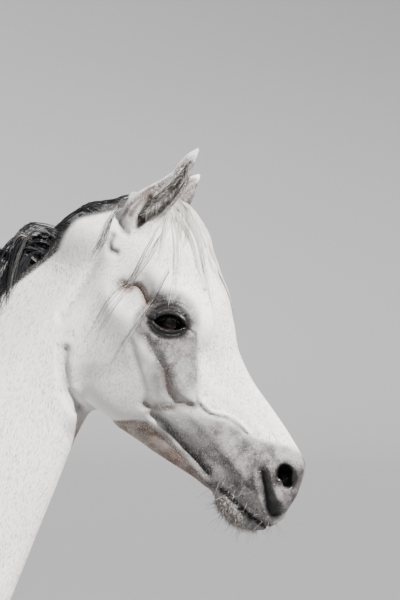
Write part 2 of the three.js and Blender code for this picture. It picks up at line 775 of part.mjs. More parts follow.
/** Mane: lies over the crest and down the left side, with a lock on the right below the ears. */
function maneGeometry() {
  const sections = neckSections().map(({ centre, up }) => ({ centre, up }));
  const inner = [];
  const outer = [];
  for (let i = 0; i < MANE_STATIONS; i += 1) {
    const share = i / (MANE_STATIONS - 1);
    const place = THREE.MathUtils.lerp(0.8, sections.length - 1.2, share);
    const whole = Math.floor(place);
    const centre = sections[whole].centre.clone().lerp(sections[whole + 1].centre, place - whole);
    const up = sections[whole].up.clone().lerp(sections[whole + 1].up, place - whole);
    const plane = { centre, up, side: new THREE.Vector3(0, up.length() * 0.42, 0) };
    const lock = Math.exp(-(((share - 0.72) / 0.09) ** 2));
    const right = THREE.MathUtils.degToRad(-9 - 42 * lock);
    const left = THREE.MathUtils.degToRad(12 + 58 * Math.sin(Math.PI * share) ** 0.6);
    const angles = levels(right, left, MANE_COLUMNS - 1);
    const taper = Math.sin(Math.PI * THREE.MathUtils.clamp(share, 0.01, 0.96)) ** 0.35;
    inner.push(angles.map((a) => pointOn(bodyField, plane, a, HAIR_CLEARANCE, 500)));
    outer.push(angles.map((a, j) => {
      const edge = Math.sin((Math.PI * (j + 0.7)) / (MANE_COLUMNS + 0.4));
      const depth = HAIR_CLEARANCE + 3 + (MANE_LIFT + 10 * lock) * edge * taper;
      return pointOn(bodyField, plane, a, depth, 600);
    }));
  }
  return shellGeometry(inner, outer);
}

/** Forelock: a thin fall of hair from between the ears down the forehead. */
function forelockGeometry() {
  const columns = 7;
  const side = new THREE.Vector3(Math.sin(HEAD_YAW), Math.cos(HEAD_YAW), 0);
  const inner = [];
  const outer = [];
  for (const share of levels(0, 1, 9)) {
    const along = THREE.MathUtils.lerp(14, 215, share);
    const [top, bottom] = headTable.sample(along);
    const plane = section(fromHead(along, top, 0), fromHead(along, bottom, 0), 80, side);
    const spread = THREE.MathUtils.degToRad(THREE.MathUtils.lerp(11, 17, Math.sin(Math.PI * share)));
    const angles = levels(-spread, spread, columns - 1);
    inner.push(angles.map((a) => pointOn(headField, plane, a, HAIR_CLEARANCE, 400)));
    outer.push(angles.map((a, j) => {
      const edge = Math.sin((Math.PI * (j + 0.8)) / (columns + 0.6));
      const depth = HAIR_CLEARANCE + 1.5 + FORELOCK_LIFT * edge * (1 - 0.7 * share);
      return pointOn(headField, plane, a, depth, 400);
    }));
  }
  return shellGeometry(inner, outer);
}

// name, place along the tail, forward of the withers, height, half depth, half width
const TAIL = [
  ['root', 0, -1040, 1372, 34, 36],
  ['dock', 70, -1108, 1352, 40, 42],
  ['bend', 160, -1172, 1268, 50, 50],
  ['below the dock', 300, -1200, 1130, 56, 58],
  ['full', 500, -1206, 930, 60, 64],
  ['hock', 820, -1196, 610, 56, 60],
  ['thin', 1080, -1184, 350, 42, 46],
  ['tip', 1180, -1180, 252, 20, 22],
];
const TAIL_RAYS = 10;

function tailGeometry() {
  const table = curves(TAIL);
  const at = (place) => {
    const [x, z, depth, width] = table.sample(place);
    return { point: alongBody(x, z), depth, width };
  };
  const rings = [...levels(0, 300, 8), ...levels(370, 1080, 8), 1140, 1180].map((place) => {
    const { point, depth, width } = at(place);
    const way = at(Math.min(place + 5, 1180)).point.sub(at(Math.max(place - 5, 0)).point);
    const across = new THREE.Vector3(-way.z, 0, way.x).normalize();
    return Array.from({ length: TAIL_RAYS }, (_, j) => {
      const angle = (2 * Math.PI * j) / TAIL_RAYS;
      const ring = point.clone().addScaledVector(across, depth * Math.cos(angle));
      ring.y += width * Math.sin(angle);
      return ring;
    });
  });
  return ringGeometry(rings);
}

// ---------------------------------------------------------------- assembly

const coat = new THREE.MeshStandardMaterial({ color: 0xe4e0dc, roughness: 0.85, metalness: 0 });
const greySkin = new THREE.MeshStandardMaterial({ color: 0xc9c2c0, roughness: 0.8, metalness: 0 });
const hair = new THREE.MeshStandardMaterial({ color: 0x6e6a68, roughness: 0.7, metalness: 0 });
const paleHair = new THREE.MeshStandardMaterial({ color: 0xd8d2c8, roughness: 0.7, metalness: 0 });
const horn = new THREE.MeshStandardMaterial({ color: 0x4a443f, roughness: 0.55, metalness: 0 });
const eye = new THREE.MeshStandardMaterial({ color: 0x17100c, roughness: 0.08, metalness: 0 });

const horse = new THREE.Group();

function addPart(name, geometry, material) {
  const mesh = new THREE.Mesh(geometry, material);
  mesh.name = name;
  horse.add(mesh);
}

const subtractAll = (solid, tools) => tools.reduce((rest, tool) => rest.subtract(tool), solid);

const grownHead = solidOf(headGeometry(PART_GAP));
const grownNeck = solidOf(neckGeometry(PART_GAP));
const grownTrunk = solidOf(trunkGeometry(PART_GAP));
const grownEyes = Object.keys(sideSigns).map((side) => solidOf(eyeGeometry(side, PART_GAP)));
const sockets = [EYE_OPENING, NOSTRIL].flatMap(onBothSides)
  .map((place) => solidOf(headEllipsoid(place)));

const grownEars = Object.keys(sideSigns).map((side) => solidOf(earGeometry(side, PART_GAP)));

const headSolid = subtractAll(solidOf(headGeometry()), [...grownEyes, ...sockets]);
addPart('head', geometryOf(headSolid), coat);
const neckSolid = solidOf(neckGeometry()).subtract(grownHead);
addPart('neck', geometryOf(neckSolid), coat);
addPart('trunk', trunkGeometry(), coat);

for (const side of Object.keys(sideSigns)) {
  addPart(`eye_${side}`, eyeGeometry(side), eye);
  addPart(`ear_${side}`, geometryOf(earSolid(side).subtract(grownHead)), greySkin);
  for (const kind of ['fore', 'hind']) {
    const upper = solidOf(upperLegGeometry(kind, side)).subtract(grownTrunk);
    addPart(`${kind}leg_${side}_upper`, geometryOf(upper), coat);
    addPart(`${kind}leg_${side}_lower`, lowerLegGeometry(kind, side), coat);
    addPart(`${kind}_hoof_${side}`, ringGeometry(hoofRings(kind, side)), horn);
  }
}

const mane = subtractAll(
  solidOf(maneGeometry()),
  [grownHead, grownNeck, grownTrunk, ...grownEars],
);
addPart('mane', geometryOf(mane), hair);
const forelock = subtractAll(solidOf(forelockGeometry()), [grownHead, ...grownEars]);
addPart('forelock', geometryOf(forelock), paleHair);
const tail = solidOf(tailGeometry()).subtract(grownTrunk);
addPart('tail', geometryOf(tail), hair);

export default horse;
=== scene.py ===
"""A life-size grey Arabian horse: skin, coat, hair, eyes and hooves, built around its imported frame."""
import functools
import math

import bmesh
import bpy
import numpy as np
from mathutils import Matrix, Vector
from mathutils.bvhtree import BVHTree


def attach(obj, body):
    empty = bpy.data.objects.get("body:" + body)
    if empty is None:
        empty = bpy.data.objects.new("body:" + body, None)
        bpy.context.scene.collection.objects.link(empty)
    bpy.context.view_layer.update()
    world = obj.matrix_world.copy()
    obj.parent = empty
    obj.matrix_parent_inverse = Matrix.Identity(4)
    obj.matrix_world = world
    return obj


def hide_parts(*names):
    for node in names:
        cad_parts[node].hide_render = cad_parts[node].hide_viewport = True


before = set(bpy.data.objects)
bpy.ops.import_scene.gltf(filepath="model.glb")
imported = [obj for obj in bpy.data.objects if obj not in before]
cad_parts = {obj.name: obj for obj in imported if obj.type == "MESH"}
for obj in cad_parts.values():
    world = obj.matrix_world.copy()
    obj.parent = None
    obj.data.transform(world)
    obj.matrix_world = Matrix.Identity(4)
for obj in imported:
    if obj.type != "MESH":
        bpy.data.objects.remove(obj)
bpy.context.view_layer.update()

bl_info = {
    "name": "Grey Arabian horse",
    "version": (1, 0, 0),
    "blender": (4, 5, 0),
    "location": "3D View > Sidebar > Horse",
    "description": "Builds the skin, coat, mane, tail, eyes and hooves of a life-size horse",
    "category": "Add Mesh",
}

MM = 0.001  # the shape is worked out in millimetres, and every mesh is made in metres

# ---------------------------------------------------------------- named sizes, in millimetres

WITHERS_X = 171
WITHERS_HEIGHT = 1480
POLL_X = WITHERS_X + 660
POLL_HEIGHT = 1905
HEAD_PITCH = math.radians(58)
HEAD_YAW = math.radians(7)
NECK_SLOPE = math.radians(38)
LEG_TOP = 900  # above it a leg doesn't swing with its stride
FETLOCK_BASE = 90
LEG_SQUARENESS = 2.2
STRIDES = {"fore": {-1: -45, 1: 70}, "hind": {-1: -60, 1: 95}}  # how far forward; the right side is -1
HOOF_SLOPE = 0.7
HOOF_WALL = 82
HEEL_HEIGHT = 46
HOOF_HALF_WIDTH = 60
EYE_RADIUS = 24.5
EYE_CENTRE = (201, -64, 70)  # along the face, up from it, outward
CORNEA = 0.055  # how far the cornea stands out, as a share of the eye's radius
NECK_BLEND = 70
LEG_BLEND = 45
HEAD_BLEND = 22
EAR_BASE = (27, -5, 54)
EAR_LEAN = math.radians(108.8)
EAR_TILT = {-1: math.radians(3), 1: math.radians(43)}  # how far each ear leans outward
EAR_BLEND = 12
SIDES = {"right": -1, "left": 1}

# Loft rows: name, place along, top, bottom, half width high, middle and low, squareness.
HEAD = (
    ("behind the poll", -35, -80, -150, 20, 34, 30, 2.0),
    ("nape", -10, -25, -190, 30, 54, 46, 2.1),
    ("poll", 5, 5, -198, 36, 64, 53, 2.2),
    ("ears", 25, 34, -200, 46, 71, 57, 2.3),
    ("forelock", 60, 54, -198, 60, 79, 61, 2.3),
    ("forehead", 100, 55, -205, 68, 83, 62, 2.4),
    ("brow", 150, 38, -234, 76, 86, 54, 2.5),
    ("eye", 200, 33, -257, 78, 87, 50, 2.5),
    ("below the eye", 250, 17, -252, 66, 84, 48, 2.4),
    ("cheek", 300, -2, -228, 52, 75, 44, 2.3),
    ("end of crest", 350, -7, -221, 41, 64, 40, 2.2),
    ("bridge", 400, -4, -196, 35, 53, 34, 2.2),
    ("bars", 450, -2, -166, 33, 46, 31, 2.2),
    ("nostril", 500, -5, -156, 34, 46, 30, 2.2),
    ("muzzle", 530, -30, -151, 36, 45, 28, 2.2),
    ("lips", 552, -66, -141, 30, 38, 24, 2.2),
    ("nose tip", 565, -82, -120, 18, 24, 16, 2.0),
)
NECK = (
    ("in the chest", -70, -80, -520, 60, 120, 110, 2.2),
    ("withers", -20, -26, -560, 44, 150, 135, 2.2),
    ("base", 70, -10, -536, 36, 145, 125, 2.2),
    ("low neck", 177, -14, -472, 33, 122, 108, 2.2),
    ("lower middle", 280, -22, -412, 31, 104, 94, 2.2),
    ("middle", 360, -27, -366, 30, 92, 84, 2.2),
    ("upper middle", 470, -34, -304, 29, 77, 63, 2.2),
    ("high neck", 570, -37, -268, 29, 70, 56, 2.2),
    ("behind the jowl", 650, -36, -254, 30, 67, 54, 2.2),
    ("throat", 720, -44, -248, 32, 64, 54, 2.2),
    ("atlas", 765, -62, -242, 34, 60, 52, 2.2),
    ("in the poll", 800, -110, -230, 24, 40, 40, 2.2),
)
TRUNK = (
    ("point of buttock", -1090, 1335, 1200, 50, 100, 60, 2.2),
    ("dock", -1060, 1378, 1130, 95, 165, 85, 2.3),
    ("tail head", -1000, 1430, 1062, 150, 215, 105, 2.3),
    ("hip joint", -900, 1468, 1020, 170, 238, 118, 2.3),
    ("croup", -780, 1484, 985, 172, 248, 130, 2.3),
    ("point of hip", -680, 1471, 942, 160, 252, 150, 2.3),
    ("flank", -560, 1432, 890, 145, 262, 175, 2.3),
    ("back", -400, 1412, 842, 130, 270, 195, 2.2),
    ("ribs", -250, 1418, 818, 105, 264, 195, 2.2),
    ("girth", -100, 1462, 808, 60, 240, 180, 2.2),
    ("withers", 0, 1484, 808, 36, 222, 165, 2.2),
    ("elbow", 100, 1478, 818, 36, 205, 150, 2.2),
    ("shoulder", 200, 1430, 838, 60, 185, 140, 2.3),
    ("breast", 300, 1310, 880, 90, 165, 125, 2.4),
    ("front of chest", 365, 1200, 945, 90, 135, 100, 2.4),
    ("breastbone", 392, 1120, 1010, 50, 80, 60, 2.2),
)
# Leg rows: name, height, front, rear, half width, middle line.
FORELEG = (
    ("coronet", 40, 252, 164, 46, 118),
    ("top of hoof", 84, 241, 158, 46, 118),
    ("low pastern", 115, 226, 150, 36, 118),
    ("pastern", 150, 209, 136, 31, 118),
    ("below fetlock", 185, 192, 108, 33, 118),
    ("fetlock", 212, 182, 94, 36, 118),
    ("above fetlock", 245, 172, 104, 30, 119),
    ("cannon", 300, 168, 110, 26, 120),
    ("high cannon", 360, 169, 111, 27, 122),
    ("below knee", 395, 178, 104, 37, 124),
    ("knee", 435, 188, 96, 44, 126),
    ("top of knee", 465, 186, 92, 43, 128),
    ("above knee", 505, 178, 106, 37, 130),
    ("low forearm", 600, 188, 106, 42, 134),
    ("forearm", 700, 202, 92, 52, 142),
    ("high forearm", 800, 214, 74, 62, 150),
    ("elbow", 880, 216, 56, 66, 155),
    ("above elbow", 950, 214, 64, 60, 155),
    ("in the shoulder", 1010, 196, 92, 40, 150),
)
HINDLEG = (
    ("coronet", 40, -940, -1028, 45, 125),
    ("top of hoof", 84, -953, -1034, 45, 125),
    ("low pastern", 115, -966, -1042, 35, 125),
    ("pastern", 150, -984, -1056, 31, 125),
    ("below fetlock", 188, -1004, -1086, 33, 125),
    ("fetlock", 218, -1020, -1106, 36, 124),
    ("above fetlock", 255, -1032, -1098, 31, 123),
    ("cannon", 320, -1036, -1096, 27, 122),
    ("high cannon", 400, -1030, -1094, 29, 121),
    ("below hock", 460, -1014, -1096, 38, 120),
    ("hock", 520, -996, -1106, 46, 120),
    ("high hock", 570, -978, -1118, 47, 121),
    ("point of hock", 612, -950, -1126, 40, 122),
    ("above hock", 650, -910, -1085, 40, 124),
    ("low gaskin", 700, -858, -1030, 48, 130),
    ("gaskin", 760, -796, -990, 60, 142),
    ("high gaskin", 820, -730, -972, 72, 155),
    ("stifle", 880, -672, -985, 80, 160),
    ("thigh", 960, -660, -1005, 78, 150),
    ("in the haunch", 1040, -700, -980, 60, 140),
)
# Masses: name, one end, other end, radius and half width at each end, depth of the blend.
HEAD_MASSES = (
    ("brow", (160, 62, -58), (222, 66, -36), 30, 28, 24, 24, 40),
    ("lids", (199, 58, -66), (200, 60, -66), 42, 42, 34, 34, 36),
    ("lower orbit", (185, 66, -100), (250, 66, -98), 26, 22, 20, 18, 40),
    ("zygomatic arch", (118, 66, -112), (185, 70, -102), 26, 24, 20, 20, 40),
    ("facial crest", (250, 60, -104), (330, 44, -96), 24, 16, 20, 14, 36),
    ("jowl", (203, 52, -150), (226, 50, -158), 97, 90, 35, 33, 38),
    ("nostril", (496, 28, -54), (522, 32, -66), 37, 27, 26, 22, 34),
    ("chin", (498, 0, -144), (518, 0, -142), 24, 22, 28, 26, 24),
    ("bar of the jaw", (292, 30, -211), (442, 20, -149), 20, 17, 14, 12, 24),
)
HEAD_HOLLOWS = (
    ("temple", (128, 94, -84), (142, 94, -78), 20, 18, 16, 16, 34),
    ("between the jaws", (300, 0, -256), (430, 0, -200), 24, 24, 15, 13, 24),
)
BODY_MASSES = (
    ("shoulder blade", (60, 70, 1320), (285, 145, 1070), 80, 98, 48, 62, 90),
    ("upper arm", (300, 138, 1055), (150, 150, 950), 84, 76, 60, 58, 60),
    ("triceps", (0, 145, 1170), (95, 150, 950), 120, 70, 62, 50, 80),
    ("breast", (335, 60, 1015), (290, 70, 930), 78, 66, 62, 60, 60),
    ("thigh", (-870, 120, 1290), (-745, 155, 920), 185, 120, 112, 86, 90),
    ("buttock", (-1036, 80, 1235), (-945, 112, 890), 94, 92, 80, 74, 90),
    ("rump", (-990, 0, 1300), (-1005, 0, 1190), 120, 112, 95, 85, 70),
    ("hip to stifle", (-665, 130, 1345), (-700, 170, 980), 60, 90, 84, 62, 90),
)
# Ear rows: name, place along, front edge, back edge, half depth.
EAR_OUTER = (
    ("root", -40, 10, -18, 12),
    ("low base", -28, 20, -30, 19),
    ("base", 0, 24, -37, 21),
    ("bell", 20, 27, -30, 20),
    ("lower middle", 43, 29, -20, 18),
    ("middle", 60, 29, -13, 16),
    ("upper middle", 76, 26, -9, 13),
    ("high", 94, 19, -9, 10),
    ("near the tip", 112, 12, -7, 6),
    ("tip", 136, 5, 2, 1.6),
)
EAR_HOLLOW = (
    ("notch", -30, 10, 2, 5),
    ("base", 0, 15, -5, 13),
    ("bell", 21, 23, -3, 18),
    ("lower middle", 43, 25, 1, 17),
    ("middle", 60, 24, 4, 14),
    ("upper middle", 77, 21, 5, 11),
    ("high", 93, 14, 5, 6),
    ("near the tip", 103, 11, 5, 3),
)
# Tail rows: name, place along, forward of the withers, height, half depth, half width.
TAIL = (
    ("root", 0, -1040, 1372, 34, 36),
    ("dock", 70, -1108, 1352, 40, 42),
    ("bend", 160, -1172, 1268, 50, 50),
    ("below the dock", 300, -1200, 1130, 56, 58),
    ("full", 500, -1206, 930, 60, 64),
    ("hock", 820, -1196, 610, 56, 60),
    ("thin", 1080, -1184, 350, 42, 46),
    ("tip", 1180, -1180, 252, 20, 22),
)

# Raised and sunken lines of the face: name, half width, height, least distance from the middle, points
# along the face and up from it. Each fades out towards the middle of the head.
FACE_LINES = (
    ("facial crest", 9, 2.6, 25, ((236, -92), (268, -98), (300, -106), (328, -97))),
    ("under the crest", 7, -2.6, 25,
     ((203, -107), (218, -110), (257, -110), (278, -119), (295, -125), (307, -121))),
    ("front of the cheek muscle", 7, -3.4, 25,
     ((288, -169), (300, -162), (309, -148), (314, -136), (316, -122), (323, -112), (331, -104))),
    ("behind the crest", 6, -1.2, 25,
     ((194, -131), (218, -138), (242, -146), (262, -152), (281, -161), (294, -166))),
    ("facial vein", 2.3, 3.0, 12,
     ((319, -82), (327, -87), (340, -88), (352, -86), (360, -80), (370, -70), (382, -61), (397, -57),
      (416, -53))),
    ("beside the vein", 2.4, -1.8, 12,
     ((322, -90), (333, -95), (346, -94), (358, -90), (367, -82), (377, -72), (388, -67), (401, -63),
      (416, -59))),
    ("vein of the cheek", 4.5, 1.6, 25, ((327, -98), (324, -116), (312, -140), (300, -170))),
    ("angular vein", 2.6, -1.3, 25, ((260, -48), (290, -68), (319, -85))),
    ("groove above the jaw", 6, -5.0, 14,
     ((308, -168), (322, -160), (336, -156), (359, -155), (380, -154), (411, -150), (438, -147))),
    ("ridge above the jaw", 4.5, 2.2, 14,
     ((318, -178), (330, -174), (355, -167), (381, -162), (401, -160), (424, -158), (446, -156))),
    ("lifter of the lip", 9, 1.6, 14, ((262, -62), (320, -62), (380, -44), (440, -36), (472, -30))),
    ("hollow of the nose", 14, -2.2, 14, ((404, -80), (440, -80), (464, -78))),
    ("canine muscle", 8, 1.8, 14, ((352, -112), (410, -104), (462, -100), (494, -100))),
    ("nostril slit", 9.5, -6.5, 14,
     ((483, -68), (494, -71), (507, -75), (521, -81), (535, -85), (545, -86))),
    ("rim of the slit", 5.0, 1.2, 14, ((466, -74), (484, -86), (504, -92), (524, -98), (540, -99))),
    ("wing of the nostril", 7, 3.0, 20, ((488, -56), (504, -64), (524, -68), (538, -66))),
    ("mouth", 2.6, -7.5, 0,
     ((470, -143), (484, -137), (508, -132), (526, -127), (543, -119), (553, -114), (570, -111))),
    ("upper lip", 5, 1.6, 0, ((486, -127), (508, -122), (528, -117), (546, -109))),
    ("lower lip", 5, 1.8, 0, ((484, -147), (508, -142), (530, -137), (546, -130))),
    ("corner of the mouth", 5, -3.0, 10, ((462, -145), (470, -150), (474, -156))),
    ("fold of the chin", 4, -1.6, 0, ((484, -155), (500, -152), (516, -152))),
    ("edge of the jowl", 8, -8.0, 20, ((146, -232), (160, -244), (200, -266), (236, -270))),
    ("parotid", 14, 2.0, 20, ((66, -96), (88, -130), (104, -165), (114, -200))),
    ("behind the parotid", 9, -3.4, 20, ((40, -98), (62, -136), (82, -172), (98, -208))),
    ("brow bone", 9, 2.2, 40, ((150, -58), (166, -40), (190, -28), (216, -26))),
    ("rim of the temple", 4.5, -4.2, 30,
     ((119, -94), (118, -84), (124, -77), (134, -76), (145, -79), (156, -77))),
    ("back of the temple", 6.5, -4.5, 30, ((108, -98), (118, -94))),
    ("first fold of the ear", 4, -4.6, 20, ((12, -28), (12, -40), (20, -50), (34, -51), (42, -47))),
    ("second fold of the ear", 4.5, -4.6, 20, ((32, -70), (38, -80), (50, -85), (60, -78))),
)
LINES = {row[0]: row[4] for row in FACE_LINES}

# Lines of the body: name, half width, height, points forward of the withers and up from the floor.
BODY_LINES = (
    ("behind the shoulder blade", 26, -5.0,
     ((20, 1400), (70, 1290), (98, 1180), (84, 1060), (20, 985))),
    ("spine of the blade", 18, 3.0, ((60, 1380), (130, 1250), (210, 1130), (290, 1075))),
    ("in front of the shoulder", 18, -4.0, ((150, 1400), (250, 1240), (330, 1130))),
    ("jugular groove", 15, -4.5, ((330, 1190), (420, 1310), (520, 1420), (600, 1500))),
    ("above the elbow", 20, -4.0, ((20, 985), (110, 930), (180, 900))),
    ("girth fold", 14, -3.0, ((10, 960), (30, 905), (40, 850))),
    ("hollow of the flank", 40, -9.0, ((-590, 1330), (-610, 1260), (-590, 1180))),
    ("stifle fold", 16, -5.0, ((-600, 1080), (-630, 990), (-668, 915))),
    ("front of the thigh", 26, 4.0, ((-690, 1350), (-660, 1200), (-668, 1060), (-690, 960))),
    ("hamstring groove", 15, -5.0,
     ((-1000, 1330), (-1000, 1220), (-968, 1080), (-925, 950), (-890, 860))),
    ("gluteal groove", 18, -3.0, ((-820, 1400), (-880, 1270), (-890, 1150))),
    ("rib arch", 26, -4.0, ((-120, 860), (-300, 900), (-440, 1000), (-520, 1120))),
)

# Hollows of the legs, or bones where they rise: name, leg, heights, place across from the rear at -1 to
# the front at 1, half width and depth. The heights are a middle and a half height, or the four of a band.
LEG_DETAILS = (
    ("before the tendon", "fore", (225, 270, 370, 410), -0.12, 0.2, 3.4),
    ("knee", "fore", (436, 26), 0.85, 0.3, -2.6),
    ("side of the knee", "fore", (436, 26), 0.15, 0.28, 2.2),
    ("between the muscles of the forearm", "fore", (700, 120), 0.1, 0.16, 3.0),
    ("before the tendon", "hind", (235, 280, 430, 480), -0.12, 0.2, 3.4),
    ("before the Achilles tendon", "hind", (560, 610, 740, 800), -0.42, 0.2, 9.0),
    ("side of the hock", "hind", (520, 30), 0.1, 0.3, 2.4),
    ("fetlock", "fore", (214, 18), -0.7, 0.35, -2.0),
    ("fetlock", "hind", (218, 18), -0.7, 0.35, -2.0),
)

EYE_DIP = (0.686, 0.728)  # the way from the rear corner of the eye to the front one, along and up
EYE_MIDDLE = (201.9, -63.4)
EYE_HALF = 25.0
LID_UP = 14.0
LID_DOWN = 10.0
COAT_DEPTH = 2.5
FACE_COAT_DEPTH = 1.5
COAT_END = 62  # height of the coat's lower edge over the hooves
SOCKET_RADIUS = 23.3

# Folds of the lids: share of the lid's own curve, distance off it, half width, height.
LID_FOLDS = (
    (1, 3.0, 2.4, 2.4),
    (1, 6.6, 1.3, -1.7),
    (0.97, 9.4, 1.2, 1.3),
    (0.94, 11.8, 1.1, -1.6),
    (0.9, 14.6, 1.1, -1.2),
    (0.8, 18.0, 1.3, -1.3),
    (0.6, 22.5, 1.6, -1.3),
    (0.4, 28.0, 1.8, -1.1),
    (-1, 2.8, 2.2, 1.6),
    (-1, 6.2, 1.2, -1.5),
    (-1, 9.2, 1.2, -1.4),
    (-0.95, 12.6, 1.3, -1.2),
    (-0.9, 17.0, 1.6, -0.9),
)

# Folds of the outside of the ear: half width, depth, points along the ear and forward across it.
EAR_LINES = (
    (4.0, 4.0, ((-34, 9), (-22, 5), (-6, 0), (8, -4), (22, -7))),
    (3.0, 1.6, ((-22, -14), (0, -16), (20, -14), (44, -9))),
    (2.6, 1.2, ((-30, -22), (-10, -26), (14, -22), (36, -14))),
)

FACE_FROM = 690  # nothing of the face is behind this x

# ---------------------------------------------------------------- the shape as a field


def together(*parts):
    """Points or directions from their parts, each an array or one number."""
    return np.stack(np.broadcast_arrays(*parts), -1)


def smooth_step(value, low, high):
    """0 below low, 1 above high, and smooth between them."""
    share = np.clip((value - low) / (high - low), 0, 1)
    return share * share * (3 - 2 * share)


def band(value, low, full, fade, high):
    """0 up to low, 1 from full to fade, and 0 again from high."""
    return smooth_step(value, low, full) * (1 - smooth_step(value, fade, high))


def curve_table(rows):
    """Smooth curves through a table of named rows, as (first, last, finely sampled columns)."""
    at = np.array([row[1] for row in rows], float)
    fine = np.linspace(at[0], at[-1], 1201)
    span = np.diff(at)
    i = np.clip(np.searchsorted(at, fine) - 1, 0, len(at) - 2)
    t = (fine - at[i]) / span[i]
    columns = []
    for c in range(2, len(rows[0])):
        value = np.array([row[c] for row in rows], float)
        rise = np.diff(value) / span
        slope = np.concatenate(([rise[0]], np.zeros(len(at) - 2), [rise[-1]]))
        for k in range(1, len(at) - 1):
            if rise[k - 1] * rise[k] > 0:
                a = 2 * span[k] + span[k - 1]
                b = span[k] + 2 * span[k - 1]
                slope[k] = (a + b) / (a / rise[k - 1] + b / rise[k])
        columns.append(
            value[i] * (1 + 2 * t) * (1 - t) ** 2
            + slope[i] * span[i] * t * (1 - t) ** 2
            + value[i + 1] * t * t * (3 - 2 * t)
            + slope[i + 1] * span[i] * t * t * (t - 1)
        )
    return at[0], at[-1], np.array(columns, np.float32)


def look_up(table, place):
    """The columns of a curve table at some places."""
    first, last, columns = table
    scaled = np.clip((place - first) / (last - first), 0, 1) * (columns.shape[1] - 1)
    i = np.minimum(scaled.astype(np.int32), columns.shape[1] - 2)
    share = (scaled - i).astype(np.float32)
    return columns[:, i] * (1 - share) + columns[:, i + 1] * share


HEAD_TABLE = curve_table(HEAD)
NECK_TABLE = curve_table(NECK)
TRUNK_TABLE = curve_table(TRUNK)
LEG_TABLES = {"fore": curve_table(FORELEG), "hind": curve_table(HINDLEG)}
EAR_TABLE = curve_table(EAR_OUTER)
HOLLOW_TABLE = curve_table(EAR_HOLLOW)
TAIL_TABLE = curve_table(TAIL)


def close_ends(side, place, first, last):
    """Distance past the side and past the ends of a loft, joined."""
    end = np.maximum(first - place, place - last)
    return np.minimum(np.maximum(side, end), 0) + np.hypot(np.maximum(side, 0), np.maximum(end, 0))


def section_distance(across, up, half_width, half_height, power):
    """Near distance to a superellipse with the given half sizes."""
    a = np.abs(across) / half_width + 1e-6
    u = np.abs(up) / half_height + 1e-6
    k = (a**power + u**power) ** (1 / power)
    fall = k ** (1 - power) * np.hypot(a ** (power - 1) / half_width, u ** (power - 1) / half_height)
    return (k - 1) / fall


def loft_distance(table, along, up, across):
    """Loft whose half width changes from a low to a middle to a high value."""
    top, bottom, wide_top, wide_middle, wide_low, power = look_up(table, along)
    half_height = (top - bottom) / 2
    height = (up - (top + bottom) / 2) / half_height
    ease = smooth_step(np.abs(height), 0, 1)
    width = wide_middle + (np.where(height > 0, wide_top, wide_low) - wide_middle) * ease
    side = section_distance(across, height * half_height, width, half_height, power)
    return close_ends(side, along, table[0], table[1])


def mass_distance(mass, along, out, up):
    """Round cone between two points, flattened sideways."""
    _, start, end, radius_a, radius_b, width_a, width_b = mass[:7]
    axis = [b - a for a, b in zip(start, end)]
    x, y, z = along - start[0], out - start[1], up - start[2]
    h = np.clip((x * axis[0] + y * axis[1] + z * axis[2]) / sum(a * a for a in axis), 0, 1)
    x, y, z = x - h * axis[0], y - h * axis[1], z - h * axis[2]
    radius = radius_a + (radius_b - radius_a) * h
    width = width_a + (width_b - width_a) * h
    flat = x * x + z * z
    k = np.sqrt(flat / radius**2 + (y / width) ** 2)
    fall = np.sqrt(flat / radius**4 + y**2 / width**4) + 1e-9
    return np.where(k < 1e-3, -np.minimum(radius, width), k * (k - 1) / fall)


def blend(a, b, depth):
    """Union of two distances with a rounded inner corner."""
    h = np.maximum(depth - np.abs(a - b), 0) / depth
    return np.minimum(a, b) - h * h * depth / 4


def carve(a, b, depth):
    """The first distance with the second carved out of it."""
    return -blend(-a, b, depth)


def add_masses(total, masses, along, out, up):
    """Blends a table of masses, and their mirror images, onto a distance."""
    side = np.abs(out)
    for mass in masses:
        total = blend(total, mass_distance(mass, along, side, up), mass[7])
    return total


def line_distance(a, b, points):
    """Distance to a broken line in a plane."""
    best = np.full(np.shape(a), 1e6, np.float32)
    for (a0, b0), (a1, b1) in zip(points, points[1:]):
        da, db = a1 - a0, b1 - b0
        h = np.clip(((a - a0) * da + (b - b0) * db) / (da * da + db * db), 0, 1)
        best = np.minimum(best, (a - a0 - h * da) ** 2 + (b - b0 - h * db) ** 2)
    return np.sqrt(best)


def hump(distance, half_width):
    """1 on a line and 0 well away from it."""
    return np.exp(-((distance / half_width) ** 2))


def to_head(x, y, z):
    """Head coordinates (along the face, up from it, sideways) of world points."""
    dx = x - POLL_X
    forward = dx * math.cos(HEAD_YAW) - y * math.sin(HEAD_YAW)
    rise = z - POLL_HEIGHT
    return (
        forward * math.cos(HEAD_PITCH) - rise * math.sin(HEAD_PITCH),
        forward * math.sin(HEAD_PITCH) + rise * math.cos(HEAD_PITCH),
        dx * math.sin(HEAD_YAW) + y * math.cos(HEAD_YAW),
    )


def turn_head(along, up, out):
    """World direction of a direction in head coordinates."""
    forward = along * math.cos(HEAD_PITCH) + up * math.sin(HEAD_PITCH)
    return together(
        forward * math.cos(HEAD_YAW) + out * math.sin(HEAD_YAW),
        out * math.cos(HEAD_YAW) - forward * math.sin(HEAD_YAW),
        up * math.cos(HEAD_PITCH) - along * math.sin(HEAD_PITCH),
    )


def from_head(along, up, out):
    """World points of head coordinates."""
    return turn_head(along, up, out) + np.array([POLL_X, 0, POLL_HEIGHT])


def to_neck(x, z):
    """Neck coordinates (along it from the withers, up from it) of world points."""
    forward, rise = x - WITHERS_X, z - WITHERS_HEIGHT
    return (
        forward * math.cos(NECK_SLOPE) + rise * math.sin(NECK_SLOPE),
        rise * math.cos(NECK_SLOPE) - forward * math.sin(NECK_SLOPE),
    )


